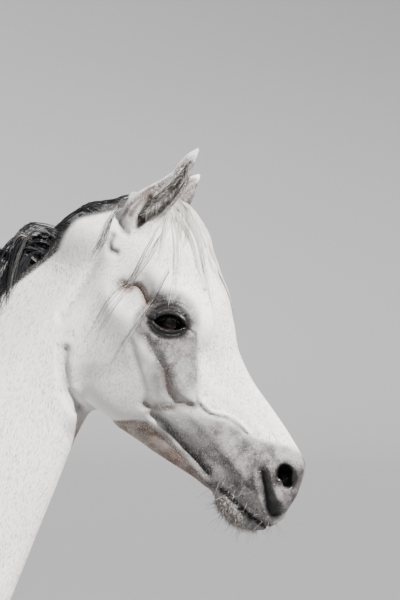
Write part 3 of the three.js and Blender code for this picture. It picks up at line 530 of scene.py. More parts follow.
def from_neck(along, up, y):
    """World points of neck coordinates."""
    return together(
        WITHERS_X + along * math.cos(NECK_SLOPE) - up * math.sin(NECK_SLOPE),
        y,
        WITHERS_HEIGHT + along * math.sin(NECK_SLOPE) + up * math.cos(NECK_SLOPE),
    )


def to_ear(along, up, out):
    """Ear coordinates (along the ear, forward across it, outward) of head coordinates."""
    tilt = np.where(out > 0, EAR_TILT[1], EAR_TILT[-1])
    da, du = along - EAR_BASE[0], up - EAR_BASE[1]
    length = da * math.cos(EAR_LEAN) + du * math.sin(EAR_LEAN)
    across = da * math.sin(EAR_LEAN) - du * math.cos(EAR_LEAN)
    depth = np.abs(out) - EAR_BASE[2]
    return (
        length * np.cos(tilt) + depth * np.sin(tilt),
        across,
        depth * np.cos(tilt) - length * np.sin(tilt),
    )


def from_ear(side, length, across, depth):
    """Head coordinates of ear coordinates."""
    tilt = EAR_TILT[side]
    height = length * math.cos(tilt) - depth * math.sin(tilt)
    out = depth * math.cos(tilt) + length * math.sin(tilt)
    return (
        EAR_BASE[0] + height * math.cos(EAR_LEAN) + across * math.sin(EAR_LEAN),
        EAR_BASE[1] + height * math.sin(EAR_LEAN) - across * math.cos(EAR_LEAN),
        (EAR_BASE[2] + out) * side,
    )


def head_field(x, y, z):
    """The outside of the head's coat, without the ears."""
    along, up, out = to_head(x, y, z)
    total = add_masses(loft_distance(HEAD_TABLE, along, up, out), HEAD_MASSES, along, out, up)
    for mass in HEAD_HOLLOWS:
        total = carve(total, mass_distance(mass, along, np.abs(out), up), mass[7])
    return total


def neck_field(x, y, z):
    """The outside of the neck's coat."""
    along, up = to_neck(x, z)
    return loft_distance(NECK_TABLE, along, up, y)


def trunk_field(x, y, z):
    """The outside of the trunk's coat, with its muscles."""
    along = x - WITHERS_X
    return add_masses(loft_distance(TRUNK_TABLE, along, z, y), BODY_MASSES, along, y, z)


def leg_section(kind, side, height):
    """Middle, half length, half width and middle line of a leg at some heights."""
    front, rear, half_width, middle = look_up(LEG_TABLES[kind], height)
    swing = np.clip((LEG_TOP - height) / (LEG_TOP - FETLOCK_BASE), 0, 1)
    step = WITHERS_X + STRIDES[kind][side] * swing
    return (front + rear) / 2 + step, (front - rear) / 2, half_width, middle * side


def leg_field(kind, side, x, y, z):
    """One leg, with the tendons and bones that show under its skin."""
    first, last, _ = LEG_TABLES[kind]
    centre, half_length, half_width, middle = leg_section(kind, side, z)
    across = x - centre
    distance = section_distance(y - middle, across, half_width, half_length, LEG_SQUARENESS)
    total = close_ends(distance, z, first, last)
    place = across / half_length
    for _, leg, heights, at, width, depth in LEG_DETAILS:
        if leg == kind:
            share = band(z, *heights) if len(heights) == 4 else hump(z - heights[0], heights[1])
            total = total + depth * share * hump(place - at, width)
    return total


def dock_field(x, y, z):
    """The tail's own flesh, under its hair."""
    along = x - WITHERS_X
    bend = ("dock", (-1070, 0, 1356), (-1150, 0, 1262), 27, 22, 27, 22)
    drop = ("end of dock", (-1150, 0, 1262), (-1178, 0, 1130), 22, 11, 22, 11)
    return blend(mass_distance(bend, along, y, z), mass_distance(drop, along, y, z), 20)


def blend_part(total, near, part, depth, x, y, z):
    """Blends in another part's field where it can matter."""
    if near.any():
        total[near] = blend(total[near], part(x[near], y[near], z[near]), depth)
    return total


def body_field(x, y, z):
    """The outside of the coat, without ears, mane and tail hair."""
    total = np.full(x.shape, 1e3, np.float32)
    back = x < WITHERS_X + 560
    total[back] = trunk_field(x[back], y[back], z[back])
    blend_part(total, x > WITHERS_X - 200, neck_field, NECK_BLEND, x, y, z)
    low = z < 1110
    for kind, rows in STRIDES.items():
        reach = (x > WITHERS_X - 60) if kind == "fore" else (x < WITHERS_X - 480)
        for side in rows:
            near = low & reach & (y * side > -60)
            blend_part(total, near, lambda *p, k=kind, s=side: leg_field(k, s, *p), LEG_BLEND, x, y, z)
    blend_part(total, (x < WITHERS_X - 980) & (z > 1000), dock_field, 24, x, y, z)
    return blend_part(total, x > POLL_X - 200, head_field, HEAD_BLEND, x, y, z)


def eye_place(along, up):
    """Place along the eye's opening, towards the nose, and above it."""
    da, du = along - EYE_MIDDLE[0], up - EYE_MIDDLE[1]
    return da * EYE_DIP[0] + du * EYE_DIP[1], du * EYE_DIP[0] - da * EYE_DIP[1]


def lid_curves(across):
    """Height of the upper and lower lid's edge over the line between the corners of the eye."""
    share = np.clip(1 - ((across - 2.5) / EYE_HALF) ** 2, 0, 1)
    low = np.clip(1 - (across / EYE_HALF) ** 2, 0, 1)
    return LID_UP * share**0.72, -LID_DOWN * low**0.75


def face_relief(along, up, side):
    """Height of the face's folds, veins and wrinkles over its main form."""
    total = np.zeros(along.shape, np.float32)
    for _, half_width, height, least, points in FACE_LINES:
        a = [p[0] for p in points]
        b = [p[1] for p in points]
        reach = 3 * half_width
        near = (along > min(a) - reach) & (along < max(a) + reach)
        near &= (up > min(b) - reach) & (up < max(b) + reach)
        if near.any():
            rise = height * hump(line_distance(along[near], up[near], points), half_width)
            fade = smooth_step(side[near], least * 0.5, least * 1.4 + 1e-3) if least else 1
            total[near] += rise * fade
    u, v = eye_place(along, up)
    near = (np.hypot(u, v) < 62) & (side > 52)
    if near.any():
        u, v = u[near], v[near]
        upper, lower = lid_curves(u)
        sideways = 1 - smooth_step(np.abs(u), 20, 36)
        rise = 3.0 * hump(np.hypot(u, v * 1.15), 33)
        for share, off, half_width, height in LID_FOLDS:
            edge = (upper * abs(share) + off) if share > 0 else (lower * abs(share) - off)
            rise = rise + height * hump(v - edge, half_width) * sideways
        corner = line_distance(u, v, ((25, -1), (33, -4), (42, -9)))
        rear = line_distance(u, v, ((-25, 0), (-32, 1), (-40, 4)))
        total[near] += rise - 2.2 * hump(corner, 2.4) - 1.6 * hump(rear, 2.2)
    return total


def open_face(total, x, y, z):
    """Adds ears, and opens the eyes, ears and nostrils of the head."""
    along, up, out = to_head(x, y, z)
    side = np.abs(out)
    total = total - face_relief(along, up, side)

    length, across, depth = to_ear(along, up, out)
    front, back, half = look_up(EAR_TABLE, length)
    outer = section_distance(across - (front + back) / 2, depth, (front - back) / 2, half, 2.0)
    ear = close_ends(outer, length, EAR_TABLE[0], EAR_TABLE[1]) + 0.8
    for half_width, sink, points in EAR_LINES:
        ear = ear + sink * hump(line_distance(length, across, points), half_width) * (depth > 0)
    total = blend(total, ear, EAR_BLEND)
    front, back, deep = look_up(HOLLOW_TABLE, length)
    inner = section_distance(
        across - (front + back) / 2, depth - half * 1.05, (front - back) / 2, deep, 2.0
    )
    total = carve(total, close_ends(inner, length, HOLLOW_TABLE[0], HOLLOW_TABLE[1]), 2.5)

    u, v = eye_place(along, up)
    upper, lower = lid_curves(u)
    almond = np.maximum(np.maximum(v - upper, lower - v), np.abs(u) - EYE_HALF)
    ball = np.sqrt(
        (along - EYE_CENTRE[0]) ** 2 + (up - EYE_CENTRE[1]) ** 2 + (side - EYE_CENTRE[2]) ** 2
    )
    slot = np.maximum(np.maximum(almond, SOCKET_RADIUS - ball), 84 - side)
    total = carve(total, slot, 2.0)

    nostril = ("nostril", (495, 62, -33), (506, 26, -46), 15, 9, 13.5, 9)
    rear = ("front of nostril", (519, 60, -40), (512, 26, -48), 8.5, 7, 8, 7)
    cavity = blend(
        mass_distance(nostril, along, side, up), mass_distance(rear, along, side, up), 6
    )
    return carve(total, cavity, 5.0)


def body_relief(x, y, z):
    """Height of the muscles and grooves of the body over its main form."""
    along = x - WITHERS_X
    total = np.zeros(x.shape, np.float32)
    fade = smooth_step(np.abs(y), 30, 80)
    for _, half_width, height, points in BODY_LINES:
        total += height * hump(line_distance(along, z, points), half_width) * fade
    ribs = band(along, -480, -380, -120, -20)
    ribs = ribs * smooth_step(z, 930, 1020) * (1 - smooth_step(z, 1230, 1330))
    return total + 0.9 * ribs * np.cos((along + 0.35 * (z - 1100)) * 2 * math.pi / 62) * fade


def skin_field(x, y, z):
    """Negative inside the skin, which lies under the coat."""
    along = to_neck(x, z)[0]
    depth = COAT_DEPTH + (FACE_COAT_DEPTH - COAT_DEPTH) * smooth_step(along, 540, 700)
    total = body_field(x, y, z) + depth
    back = x < WITHERS_X + 640
    total[back] -= body_relief(x[back], y[back], z[back])
    ahead = x > FACE_FROM
    if ahead.any():
        total[ahead] = open_face(total[ahead], x[ahead], y[ahead], z[ahead])
    return total


# The corners of a tetrahedron, to sample the field at.
CORNERS = np.array([(1, -1, -1), (-1, -1, 1), (-1, 1, -1), (1, 1, 1)], np.float32)
LEAST_STEEPNESS = 0.35


def sense(points, reach=0.6):
    """The skin field's value, way outward and steepness at points, from four samples round each."""
    value = np.zeros(len(points), np.float32)
    slope = np.zeros((len(points), 3), np.float32)
    for corner in CORNERS:
        sample = skin_field(*(points + corner * reach).astype(np.float32).T)
        value += sample / 4
        slope += sample[:, None] * corner / (4 * reach)
    steepness = np.linalg.norm(slope, axis=1) + 1e-6
    return value, slope / steepness[:, None], np.maximum(steepness, LEAST_STEEPNESS)


def unit(vectors):
    """Vectors scaled to a length of one."""
    return vectors / (np.linalg.norm(vectors, axis=-1, keepdims=True) + 1e-9)


# ---------------------------------------------------------------- meshes from the field

COARSE = 4  # a fine grid is only filled in near the surface, found on a grid this much coarser
SETTLE_STEP = 4  # the most that a point of the mesh moves at a time
CUBE = np.array([(i, j, k) for i in (0, 1) for j in (0, 1) for k in (0, 1)])
CUBE_EDGES = [
    (a, b) for a in range(8) for b in range(a + 1, 8) if np.abs(CUBE[a] - CUBE[b]).sum() == 1
]


def grid_values(low, step, cells):
    """The skin's field on a grid, worked out only near its surface."""
    count = cells // COARSE
    rough_axes = [low[i] + step * COARSE * np.arange(count[i] + 1) for i in range(3)]
    rough = np.stack(np.meshgrid(*rough_axes, indexing="ij"), -1).reshape(-1, 3).astype(np.float32)
    rough = skin_field(*rough.T).reshape(count + 1)
    least = np.abs(rough)
    close = np.full(count, 1e6, np.float32)
    for i, j, k in CUBE:
        part = least[i : i + count[0], j : j + count[1], k : k + count[2]]
        close = np.minimum(close, part)
    close = close < step * COARSE * 1.25
    values = rough[:-1, :-1, :-1]
    for axis in range(3):
        values = np.repeat(values, COARSE, axis)
        close = np.repeat(close, COARSE, axis)
    values = np.pad(values, [(0, 1)] * 3, mode="edge")
    nodes = np.zeros(cells + 1, bool)
    for i, j, k in CUBE:
        nodes[i : i + cells[0], j : j + cells[1], k : k + cells[2]] |= close
    index = np.argwhere(nodes)
    values[nodes] = skin_field(*(low + index * step).astype(np.float32).T)
    return values


def surface_net(low, high, step):
    """Points and quads on the skin's surface, one point in each cube of a grid that it crosses."""
    low, high = np.array(low, float), np.array(high, float)
    cells = np.ceil((high - low) / (step * COARSE)).astype(int) * COARSE
    values = grid_values(low, step, cells)
    inside = values < 0
    total = np.zeros(cells, np.uint8)
    for i, j, k in CUBE:
        total += inside[i : i + cells[0], j : j + cells[1], k : k + cells[2]]
    cube = np.argwhere((total > 0) & (total < 8))
    number = np.full(cells, -1, np.int32)
    number[tuple(cube.T)] = np.arange(len(cube))
    corner = np.stack([values[tuple((cube + c).T)] for c in CUBE])
    place = np.zeros((len(cube), 3))
    count = np.zeros(len(cube))
    for a, b in CUBE_EDGES:
        cut = (corner[a] < 0) != (corner[b] < 0)
        share = corner[a][cut] / (corner[a][cut] - corner[b][cut])
        place[cut] += CUBE[a] + share[:, None] * (CUBE[b] - CUBE[a])
        count[cut] += 1
    points = low + (cube + place / count[:, None]) * step
    quads = []
    for axis in range(3):
        one, two = (axis + 1) % 3, (axis + 2) % 3
        ahead = np.roll(inside, -1, axis)
        cut = inside != ahead
        cut[tuple(slice(-1, None) if i == axis else slice(None) for i in range(3))] = False
        for other in (one, two):
            for end in (slice(0, 1), slice(-1, None)):
                cut[tuple(end if i == other else slice(None) for i in range(3))] = False
        edge = np.argwhere(cut)
        ring = []
        for d1, d2 in ((-1, -1), (0, -1), (0, 0), (-1, 0)):
            cell = edge.copy()
            cell[:, one] += d1
            cell[:, two] += d2
            ring.append(number[tuple(cell.T)])
        ring = np.stack(ring, 1)
        outward = inside[tuple(edge.T)]
        quads.append(np.where(outward[:, None], ring, ring[:, ::-1]))
    return points, np.concatenate(quads)


def onto_skin(points, limit):
    """Points moved to the skin's surface, by no more than a given distance."""
    value, slope, steepness = sense(points)
    return points - np.clip(value / steepness, -limit, limit)[:, None] * slope


def settle(points, quads, rounds, ease):
    """Evens out a mesh along the surface and brings its points onto it."""
    edges = np.concatenate([quads[:, [i, (i + 1) % 4]] for i in range(4)])
    for _ in range(rounds):
        total = np.zeros_like(points)
        count = np.zeros(len(points))
        for a, b in ((0, 1), (1, 0)):
            np.add.at(total, edges[:, a], points[edges[:, b]])
            np.add.at(count, edges[:, a], 1)
        middle = total / np.maximum(count, 1)[:, None]
        points = onto_skin(points + ease * (middle - points), SETTLE_STEP)
    return points


def bmesh_of(points, faces):
    """bmesh of numpy points, in millimetres, and lists of faces."""
    mesh = bpy.data.meshes.new("work")
    fill_mesh(mesh, points, faces)
    shape = bmesh.new()
    shape.from_mesh(mesh)
    bpy.data.meshes.remove(mesh)
    return shape


def fill_mesh(mesh, points, faces):
    """Puts points and faces, as an array of equal faces or a list, into a mesh."""
    if isinstance(faces, np.ndarray):
        loops = faces.ravel()
        totals = np.full(len(faces), faces.shape[1], np.int32)
    else:
        loops = np.concatenate([np.asarray(f, np.int32).ravel() for f in faces])
        totals = np.concatenate([np.full(len(f), f.shape[1], np.int32) for f in faces])
    mesh.vertices.add(len(points))
    mesh.vertices.foreach_set("co", np.asarray(points, np.float32).ravel())
    mesh.loops.add(len(loops))
    mesh.loops.foreach_set("vertex_index", loops.astype(np.int32))
    mesh.polygons.add(len(totals))
    starts = np.concatenate(([0], np.cumsum(totals)[:-1])).astype(np.int32)
    mesh.polygons.foreach_set("loop_start", starts)
    mesh.polygons.foreach_set("loop_total", totals)
    mesh.update(calc_edges=True)


def arrays_of(shape):
    """Points and triangles of a bmesh, which is then freed."""
    bmesh.ops.triangulate(shape, faces=[f for f in shape.faces if len(f.verts) > 4])
    mesh = bpy.data.meshes.new("work")
    shape.to_mesh(mesh)
    shape.free()
    points = np.empty(len(mesh.vertices) * 3, np.float32)
    mesh.vertices.foreach_get("co", points)
    loops = np.empty(len(mesh.loops), np.int32)
    mesh.loops.foreach_get("vertex_index", loops)
    totals = np.empty(len(mesh.polygons), np.int32)
    mesh.polygons.foreach_get("loop_total", totals)
    starts = np.cumsum(totals) - totals
    groups = [
        loops[starts[totals == n][:, None] + np.arange(n)] for n in (3, 4) if (totals == n).any()
    ]
    bpy.data.meshes.remove(mesh)
    return points.reshape(-1, 3).astype(float), groups


def refine(points, groups, chosen):
    """Cuts the faces whose middle is in a chosen place into four, and brings their points home."""
    shape = bmesh_of(points, groups)
    pick = chosen(np.array([f.calc_center_median() for f in shape.faces]))
    edges = {e for f, wanted in zip(shape.faces, pick) if wanted for e in f.edges}
    bmesh.ops.subdivide_edges(shape, edges=list(edges), cuts=1, use_grid_fill=True)
    points, groups = arrays_of(shape)
    near = np.flatnonzero(chosen(points))
    for _ in range(4):
        points[near] = onto_skin(points[near], SETTLE_STEP)
    return points, groups


def cut_open(points, quads, place, way):
    """Keeps the part of a mesh that lies ahead of a plane."""
    shape = bmesh_of(points, [quads])
    parts = shape.verts[:] + shape.edges[:] + shape.faces[:]
    bmesh.ops.bisect_plane(
        shape, geom=parts, plane_co=place, plane_no=way, dist=0.01, clear_inner=True
    )
    keep_largest(shape)
    return arrays_of(shape)


def keep_largest(shape):
    """Removes every loose piece of a bmesh but the largest."""
    left = set(shape.verts)
    best = set()
    while left:
        front = [left.pop()]
        piece = set(front)
        while front:
            for edge in front.pop().link_edges:
                for vert in edge.verts:
                    if vert in left:
                        left.discard(vert)
                        piece.add(vert)
                        front.append(vert)
        if len(piece) > len(best):
            best = piece
    bmesh.ops.delete(shape, geom=[v for v in shape.verts if v not in best], context="VERTS")


def find_ring(points, place, way):
    """The open ring of a mesh in a plane, in order round the neck, with the angles of its points."""
    ring = np.flatnonzero(np.abs((points - place) @ way) < IN_PLANE)
    up = to_neck(points[ring, 0], points[ring, 2])[1]
    angle = np.arctan2(points[ring, 1], up + RING_MIDDLE)
    order = np.argsort(angle)
    return ring[order], angle[order]


def zip_rings(near, near_angle, far, far_angle):
    """Triangles between two rings that both run once round."""
    near_next = np.append(near_angle[1:], near_angle[0] + 2 * math.pi)
    far_next = np.append(far_angle[1:], far_angle[0] + 2 * math.pi)
    i = j = 0
    faces = []
    while i < len(near) or j < len(far):
        a, b = near[i % len(near)], far[j % len(far)]
        if j >= len(far) or (i < len(near) and near_next[i] < far_next[j]):
            faces.append((a, near[(i + 1) % len(near)], b))
            i += 1
        else:
            faces.append((a, far[(j + 1) % len(far)], b))
            j += 1
    return np.array(faces)


NECK_CUT = 470  # along the neck: a finer mesh lies ahead of it
NECK_SEAM = 9  # width of the strip between the finer and the coarser mesh
RING_MIDDLE = 190  # how far the middle of the neck lies under its line there
IN_PLANE = 0.05  # a point nearer than this to a plane lies in it
BODY_BOX = ((-1115, -282, 36), (820, 282, 1880))  # the corners of the coarser mesh's grid
FACE_BOX = ((470, -165, 1340), (1110, 165, 2010))  # the corners of the finer mesh's grid


def skin_ahead(box, step, place, way, spare, rounds, ease):
    """Points and faces of the skin in a box, ahead of a plane across the neck."""
    points, quads = surface_net(*box, step)
    keep = (points[quads].mean(1) - place) @ way > -spare
    points, quads = drop_unused(points, quads[keep])
    return cut_open(settle(points, quads, rounds, ease), quads, place, way)


def skin_arrays(body_step, face_step):
    """Points and faces of the whole skin."""
    way = np.array([math.cos(NECK_SLOPE), 0, math.sin(NECK_SLOPE)])
    place = from_neck(NECK_CUT, 0, 0)
    seam = place - way * NECK_SEAM
    body, body_faces = skin_ahead(BODY_BOX, body_step, seam, -way, 2 * body_step + NECK_SEAM, 4, 0.5)
    head, head_faces = skin_ahead(FACE_BOX, face_step, place, way, 3 * face_step, 3, 0.35)
    head, head_faces = refine(head, head_faces, fine_places)
    head_ring, head_angle = find_ring(head, place, way)
    strip = zip_rings(head_ring + len(body), head_angle, *find_ring(body, seam, way))
    faces = [*body_faces, *(f + len(body) for f in head_faces), strip]
    shape = bmesh_of(np.concatenate([body, head]), faces)
    bmesh.ops.remove_doubles(shape, verts=shape.verts[:], dist=0.02)
    bmesh.ops.recalc_face_normals(shape, faces=shape.faces[:])
    return arrays_of(shape)


def drop_unused(points, quads):
    """The same faces on only the points that they use."""
    used = np.zeros(len(points), bool)
    used[quads] = True
    number = np.cumsum(used) - 1
    return points[used], number[quads]


def fine_places(points):
    """True where the face needs its finest mesh: eyes, nostrils and ears."""
    along, up, out = to_head(*points.T)
    side = np.abs(out)
    u, v = eye_place(along, up)
    eye = (np.hypot(u, v * 1.1) < 46) & (side > 60)
    nostril = (np.hypot(along - 508, up + 60) < 44) & (side > 18)
    wing = (line_distance(along, up, LINES["wing of the nostril"]) < 11) & (along > 462)
    length, across, depth = to_ear(along, up, out)
    ear = (length > 0) & (np.abs(across) < 45) & (np.abs(depth) < 34)
    return eye | nostril | wing | ear


# ---------------------------------------------------------------- markings, painted shade and the lie of the coat

# The upper edge of the warm tint under the jaw, partly tan skin and partly painted shade of the jaw's
# underside, along the face and up from it.
JAW_EDGE = (
    (150, -262), (236, -264), (262, -254), (278, -238), (289, -219), (300, -198), (313, -180),
    (326, -177), (357, -169), (384, -163), (427, -160), (462, -163),
)

# Small dark spots of the right cheek: along, up, radius, darkness.
SPECKS = (
    (184, 8, 2.6, 0.8), (206, 0, 2.2, 0.3), (322, -83, 1.7, 0.9), (325, -79, 1.9, 1.0),
    (328, -75, 1.6, 0.9), (388, -99, 6.5, 0.5), (395, -103, 3.5, 0.5), (426, -68, 7, 0.35),
    (450, -63, 3.6, 0.7), (442, -57, 2.2, 0.5), (236, -78, 2.0, 0.4), (258, -92, 1.8, 0.4),
    (402, -120, 2.4, 0.5), (470, -104, 2.2, 0.5),
)

# Upper edge of the grey skin of the muzzle, along the face and up from it.
MUZZLE_EDGE = (
    (300, -118), (346, -99), (369, -82), (381, -70), (399, -60), (421, -55), (434, -46), (448, -31),
    (466, -14), (487, -2), (505, 8), (520, 20), (540, 36),
)

# Line under the eye where the flat of the cheek meets the rounded bridge; the painted shade of the cheek's
# flat side, and the grey round the eye, end at it.
BRIDGE_EDGE = ((180, 10), (205, -12), (236, -30), (325, -88), (350, -100))

# A dark tint tells less in bright light, so that the weights of dark, grey and warm are raised.
MARK_POWER = np.array([1.5, 2.4, 1.8, 1.0])

# How wide and how dark the painted shade along each fold is, in the grey skin's colour.
SHADED = {
    "nostril slit": (15, 0.75),
    "mouth": (8, 0.6),
    "under the crest": (7, 0.34),
    "front of the cheek muscle": (6, 0.42),
    "behind the crest": (7, 0.16),
    "beside the vein": (2.6, 0.5),
    "angular vein": (2.6, 0.3),
    "first fold of the ear": (4.5, 0.5),
    "second fold of the ear": (5, 0.55),
    "groove above the jaw": (7, 0.66),
    "edge of the jowl": (7, 0.25),
    "rim of the temple": (8, 0.5),
    "back of the temple": (9, 0.5),
}


def most(*shares):
    """The greatest of some shares at each place."""
    return functools.reduce(np.maximum, shares)


def eye_marks_and_painted_light(along, up):
    """Dark and grey skin round the eye, painted highlights on the lids' creases, painted shade in the
    wrinkles above and on the cheek's flat side below, and how bare it is.
    """
    u, v = eye_place(along, up)
    rim = np.hypot((u + 1) / 35, (v - 3.5) / 29)
    rear = hump(np.hypot(u + 31, (v - 19) * 0.7), 11)
    dark = np.maximum(1 - smooth_step(rim, 0.86, 1.1), 0.55 * rear)
    upper, lower = lid_curves(u)
    # Lighter lines along the lids' creases are painted highlights on the folds of the dark skin.
    lid_crease_highlights = hump(v - 0.95 * upper - 8.6, 1.3) + hump(v - 0.85 * upper - 15, 1.2)
    lid_crease_highlights = lid_crease_highlights + hump(v - lower + 8, 1.2)
    dark = dark * (1 - 0.4 * np.minimum(lid_crease_highlights, 1))
    halo = 1 - smooth_step(np.hypot((u + 6) / 60, (v - 4) / 56), 0.6, 1.02)
    # Dark lines of painted shade in the wrinkles over the upper lid.
    wrinkle = hump(v - 0.7 * upper - 21, 1.2) + hump(v - 0.6 * upper - 27, 1.3)
    dark = np.maximum(dark, 0.42 * np.minimum(wrinkle, 1) * (np.abs(u) < 30))
    halo = np.maximum(halo, 0.7 * hump(np.hypot(u - 37, (v - 11) * 0.7), 13))
    # Grey under the eye is mottled grey skin and painted shade of the cheek's flat side, which stops at the
    # lit bridge.
    right = (along - 264) * 0.53 + (up + 93) * 0.85
    down = (along - 264) * 0.85 - (up + 93) * 0.53
    cheek = smooth_step(right, -78, -8) * (1 - smooth_step(down, 18, 76)) * smooth_step(down, -80, -50)
    border = np.interp(along, *zip(*BRIDGE_EDGE)) - up
    cheek = cheek * band(border, 0, 6, 70, 110)
    grey = np.maximum(0.92 * halo * smooth_step(border, -12, 4), 0.64 * cheek)
    return dark, grey, 1 - smooth_step(rim, 0.95, 1.25)


def face_marks_and_shade(along, up, out, ahead):
    """Marks of the face and jaw, and painted shade in its folds, round the nostrils and mouth, under the
    crest, on the zygomatic arch, round the temple and above and under the jaw: weights of dark skin, grey
    skin, warm tint and bare skin.
    """
    side = np.abs(out)
    beside = smooth_step(side, 45, 62) * ahead
    wide = smooth_step(side, 12, 22) * ahead
    eye_dark, eye_grey, eye_bare = (weight * beside for weight in eye_marks_and_painted_light(along, up))
    near = {name: line_distance(along, up, LINES[name]) for name in SHADED}

    def spot(place, height, radius):
        return hump(np.hypot(along - place, up - height), radius)

    nostril = np.hypot((along - 507) / 25, (up + 39) / 22)
    wing = hump(np.hypot((along - 521) / 1.3, up + 57), 9)
    # Dark skin and painted shade along the front of the nostril's wing.
    front_wing_skin_and_shade = line_distance(along, up, ((514, -20), (527, -29), (546, -48)))
    widening = smooth_step(along, 500, 540)
    # Dark skin and painted shade in the nostril slit.
    slit = 0.94 * (1 - smooth_step(near["nostril slit"] - 4 * widening, 2.0, 14.0 + 3 * widening))
    # Dark lips and painted shade in the crease of the mouth.
    mouth = hump(near["mouth"], 4.5)
    jaw_edge = np.interp(along, *zip(*JAW_EDGE))
    # Tan skin and painted shade under the jaw.
    jaw_tan_and_shade = smooth_step(jaw_edge + 2 - up, 0, 9)
    jaw_tan_and_shade = jaw_tan_and_shade * band(along, 225, 300, 446, 470) * ahead
    # Painted shade, dark and grey, on the strip between the groove above the jaw and the tan under it.
    shade_above_jaw = hump(jaw_edge + 12 - up, 14) * ahead
    shade_above_jaw = shade_above_jaw * band(along, 322, 350, 450, 474)
    muzzle = smooth_step(np.interp(along, *zip(*MUZZLE_EDGE)) - up, -6, 12)
    muzzle = muzzle * smooth_step(along, 326, 388) * ahead
    front = smooth_step(up, -92, -50) * smooth_step(along, 392, 452)
    side_lip = smooth_step(along, 455, 490) * band(-up, 74, 90, 116, 142)
    lip = smooth_step(along, 530, 556) * smooth_step(-up, 40, 80) * ahead
    chin = smooth_step(-up, 138, 152) * smooth_step(along, 470, 492) * ahead
    # Painted shadow under the facial crest.
    crest_shadow = hump(near["under the crest"], 6) * smooth_step(along, 236, 262)
    dark = most(
        eye_dark,
        (1 - smooth_step(nostril, 0.62, 1.18)) * wide * (1 - 0.8 * wing),
        slit * wide,
        mouth * ahead,
        0.55 * hump(front_wing_skin_and_shade, 11) * wide,
        (0.26 + 0.3 * smooth_step(along, 385, 410)) * shade_above_jaw,
        # Painted shade that dims the wing of the nostril where it faces the light.
        0.25 * spot(528, -60, 16) * wide,
        0.04 * lip,
        *(share * spot(*place) * (out < 0) * wide for *place, share in SPECKS),
    )
    grey = most(
        eye_grey,
        muzzle * (1 - 0.85 * jaw_tan_and_shade) * (0.6 + 0.3 * front + 0.15 * side_lip),
        0.8 * shade_above_jaw,
        0.6 * chin,
        # Painted shade on the zygomatic arch.
        0.26 * hump(np.hypot(along - 142, (up + 100) * 0.8), 20) * beside,
        0.62 * spot(530, -62, 24) * wide,
        # Painted shade along the folds.
        *(share * hump(near[name], width) * wide for name, (width, share) in SHADED.items()),
    )
    warm = most(
        # Painted shade in the hollow behind the temple and under its rim, in the warm colour.
        0.96 * spot(110, -95, 12) * beside,
        0.9 * hump(near["rim of the temple"], 6.5) * beside,
        # Painted shade under the crest and before the cheek muscle, in the warm colour.
        0.5 * crest_shadow * wide,
        0.4 * hump(near["front of the cheek muscle"], 7) * wide,
        0.96 * jaw_tan_and_shade,
        0.36 * chin,
    )
    bare = most(
        eye_bare, (1 - smooth_step(nostril, 0.75, 1.2)) * wide, slit * wide, mouth, 0.45 * muzzle
    )
    return np.stack([dark, grey, warm, bare], -1)


def ear_marks_and_shade(along, up, out, ahead):
    """Marks of the ears, and painted shade in their hollows and folds: weights of dark skin, grey skin, warm
    tint and bare skin.
    """
    length, across, depth = to_ear(along, up, out)
    front, back, half = look_up(EAR_TABLE, length)
    near = (length > -36) & (across < front + 12) & (across > back - 12) & (np.abs(depth) < 34)
    near = near * smooth_step(length, -36, -16) * ahead
    first, last, deep = look_up(HOLLOW_TABLE, length)
    across_hollow = (across - (first + last) / 2) / ((first - last) / 2)
    inner = np.hypot(across_hollow, (depth - half * 1.05) / deep)
    inside = (1 - smooth_step(inner, 1.0, 1.14)) * near * (1 - smooth_step(length, 100, 112))
    share = (across - last) / (first - last)
    # Dark skin and painted shade inside the ear's hollow, darkest near its front and along its rear edge at
    # the base.
    back_edge_shade = 0.85 * hump(share, 0.22) * (1 - smooth_step(length, 14, 34))
    hollow_dark_and_shade = np.maximum(0.34 + 0.66 * hump(share - 0.78, 0.3), back_edge_shade)
    rim = 1 - np.clip(np.abs(inner - 1.2) / 0.14, 0, 1)
    outside = near * (1 - inside) * (0.12 + 0.88 * smooth_step(length, -10, 45))
    outside = outside * (1 - smooth_step(length, 100, 126))
    streak = 0.5 + 0.5 * np.sin(0.62 * across + 1.3 * np.sin(length / 11))
    streaked = outside * smooth_step(across - back, 1, 9)
    # Painted shade in the folds of the ear's outside, in dark, grey and warm.
    folds = [
        hump(line_distance(length, across, points), half_width * 1.2) * near * (depth > 0)
        for half_width, _, points in EAR_LINES
    ]
    dark = most(
        hollow_dark_and_shade * (1 - 0.7 * smooth_step(length, 58, 92)) * inside,
        (0.12 + 0.26 * streak) * streaked * smooth_step(length, 20, 50),
        0.64 * folds[0],
    )
    grey = most((0.66 + 0.3 * streak) * streaked, *(0.6 * fold for fold in folds))
    warm = most(
        (0.5 + 0.25 * smooth_step(length, 30, 80)) * inside,
        0.35 * rim * near * (length > -8),
        0.3 * outside * (0.5 + 0.5 * np.sin(length / 5 + across / 4)),
        *(0.5 * fold for fold in folds),
    )
    return np.stack([dark, grey, warm, inside], -1)


def body_marks(x, y, z, along):
    """Marks of crest and legs: weights of dark skin, grey skin, warm tint and bare skin."""
    neck_along, neck_up = to_neck(x, z)
    top = look_up(NECK_TABLE, neck_along)[0]
    crest = (1 - smooth_step(top - neck_up, 16, 20)) * (1 - smooth_step(np.abs(y), 24, 34))
    crest = crest * smooth_step(neck_along, 20, 120) * (along < 16) * (z > 1450)
    behind = x < WITHERS_X - 400
    knee = np.where(behind, hump(z - 540, 80), hump(z - 440, 60))
    joints = most(0.2 * knee, 0.26 * hump(z - 205, 60)) * (1 - smooth_step(z, 560, 760))
    grey = most(joints, 0.25 * (1 - smooth_step(z, 95, 150)))
    stain = behind * hump(z - 560, 90) * (y * y < 150**2) * 0.2
    warm = stain + 0.3 * (1 - smooth_step(z, 90, 130))
    return np.stack([0.9 * crest, grey, warm, 0 * z], -1)


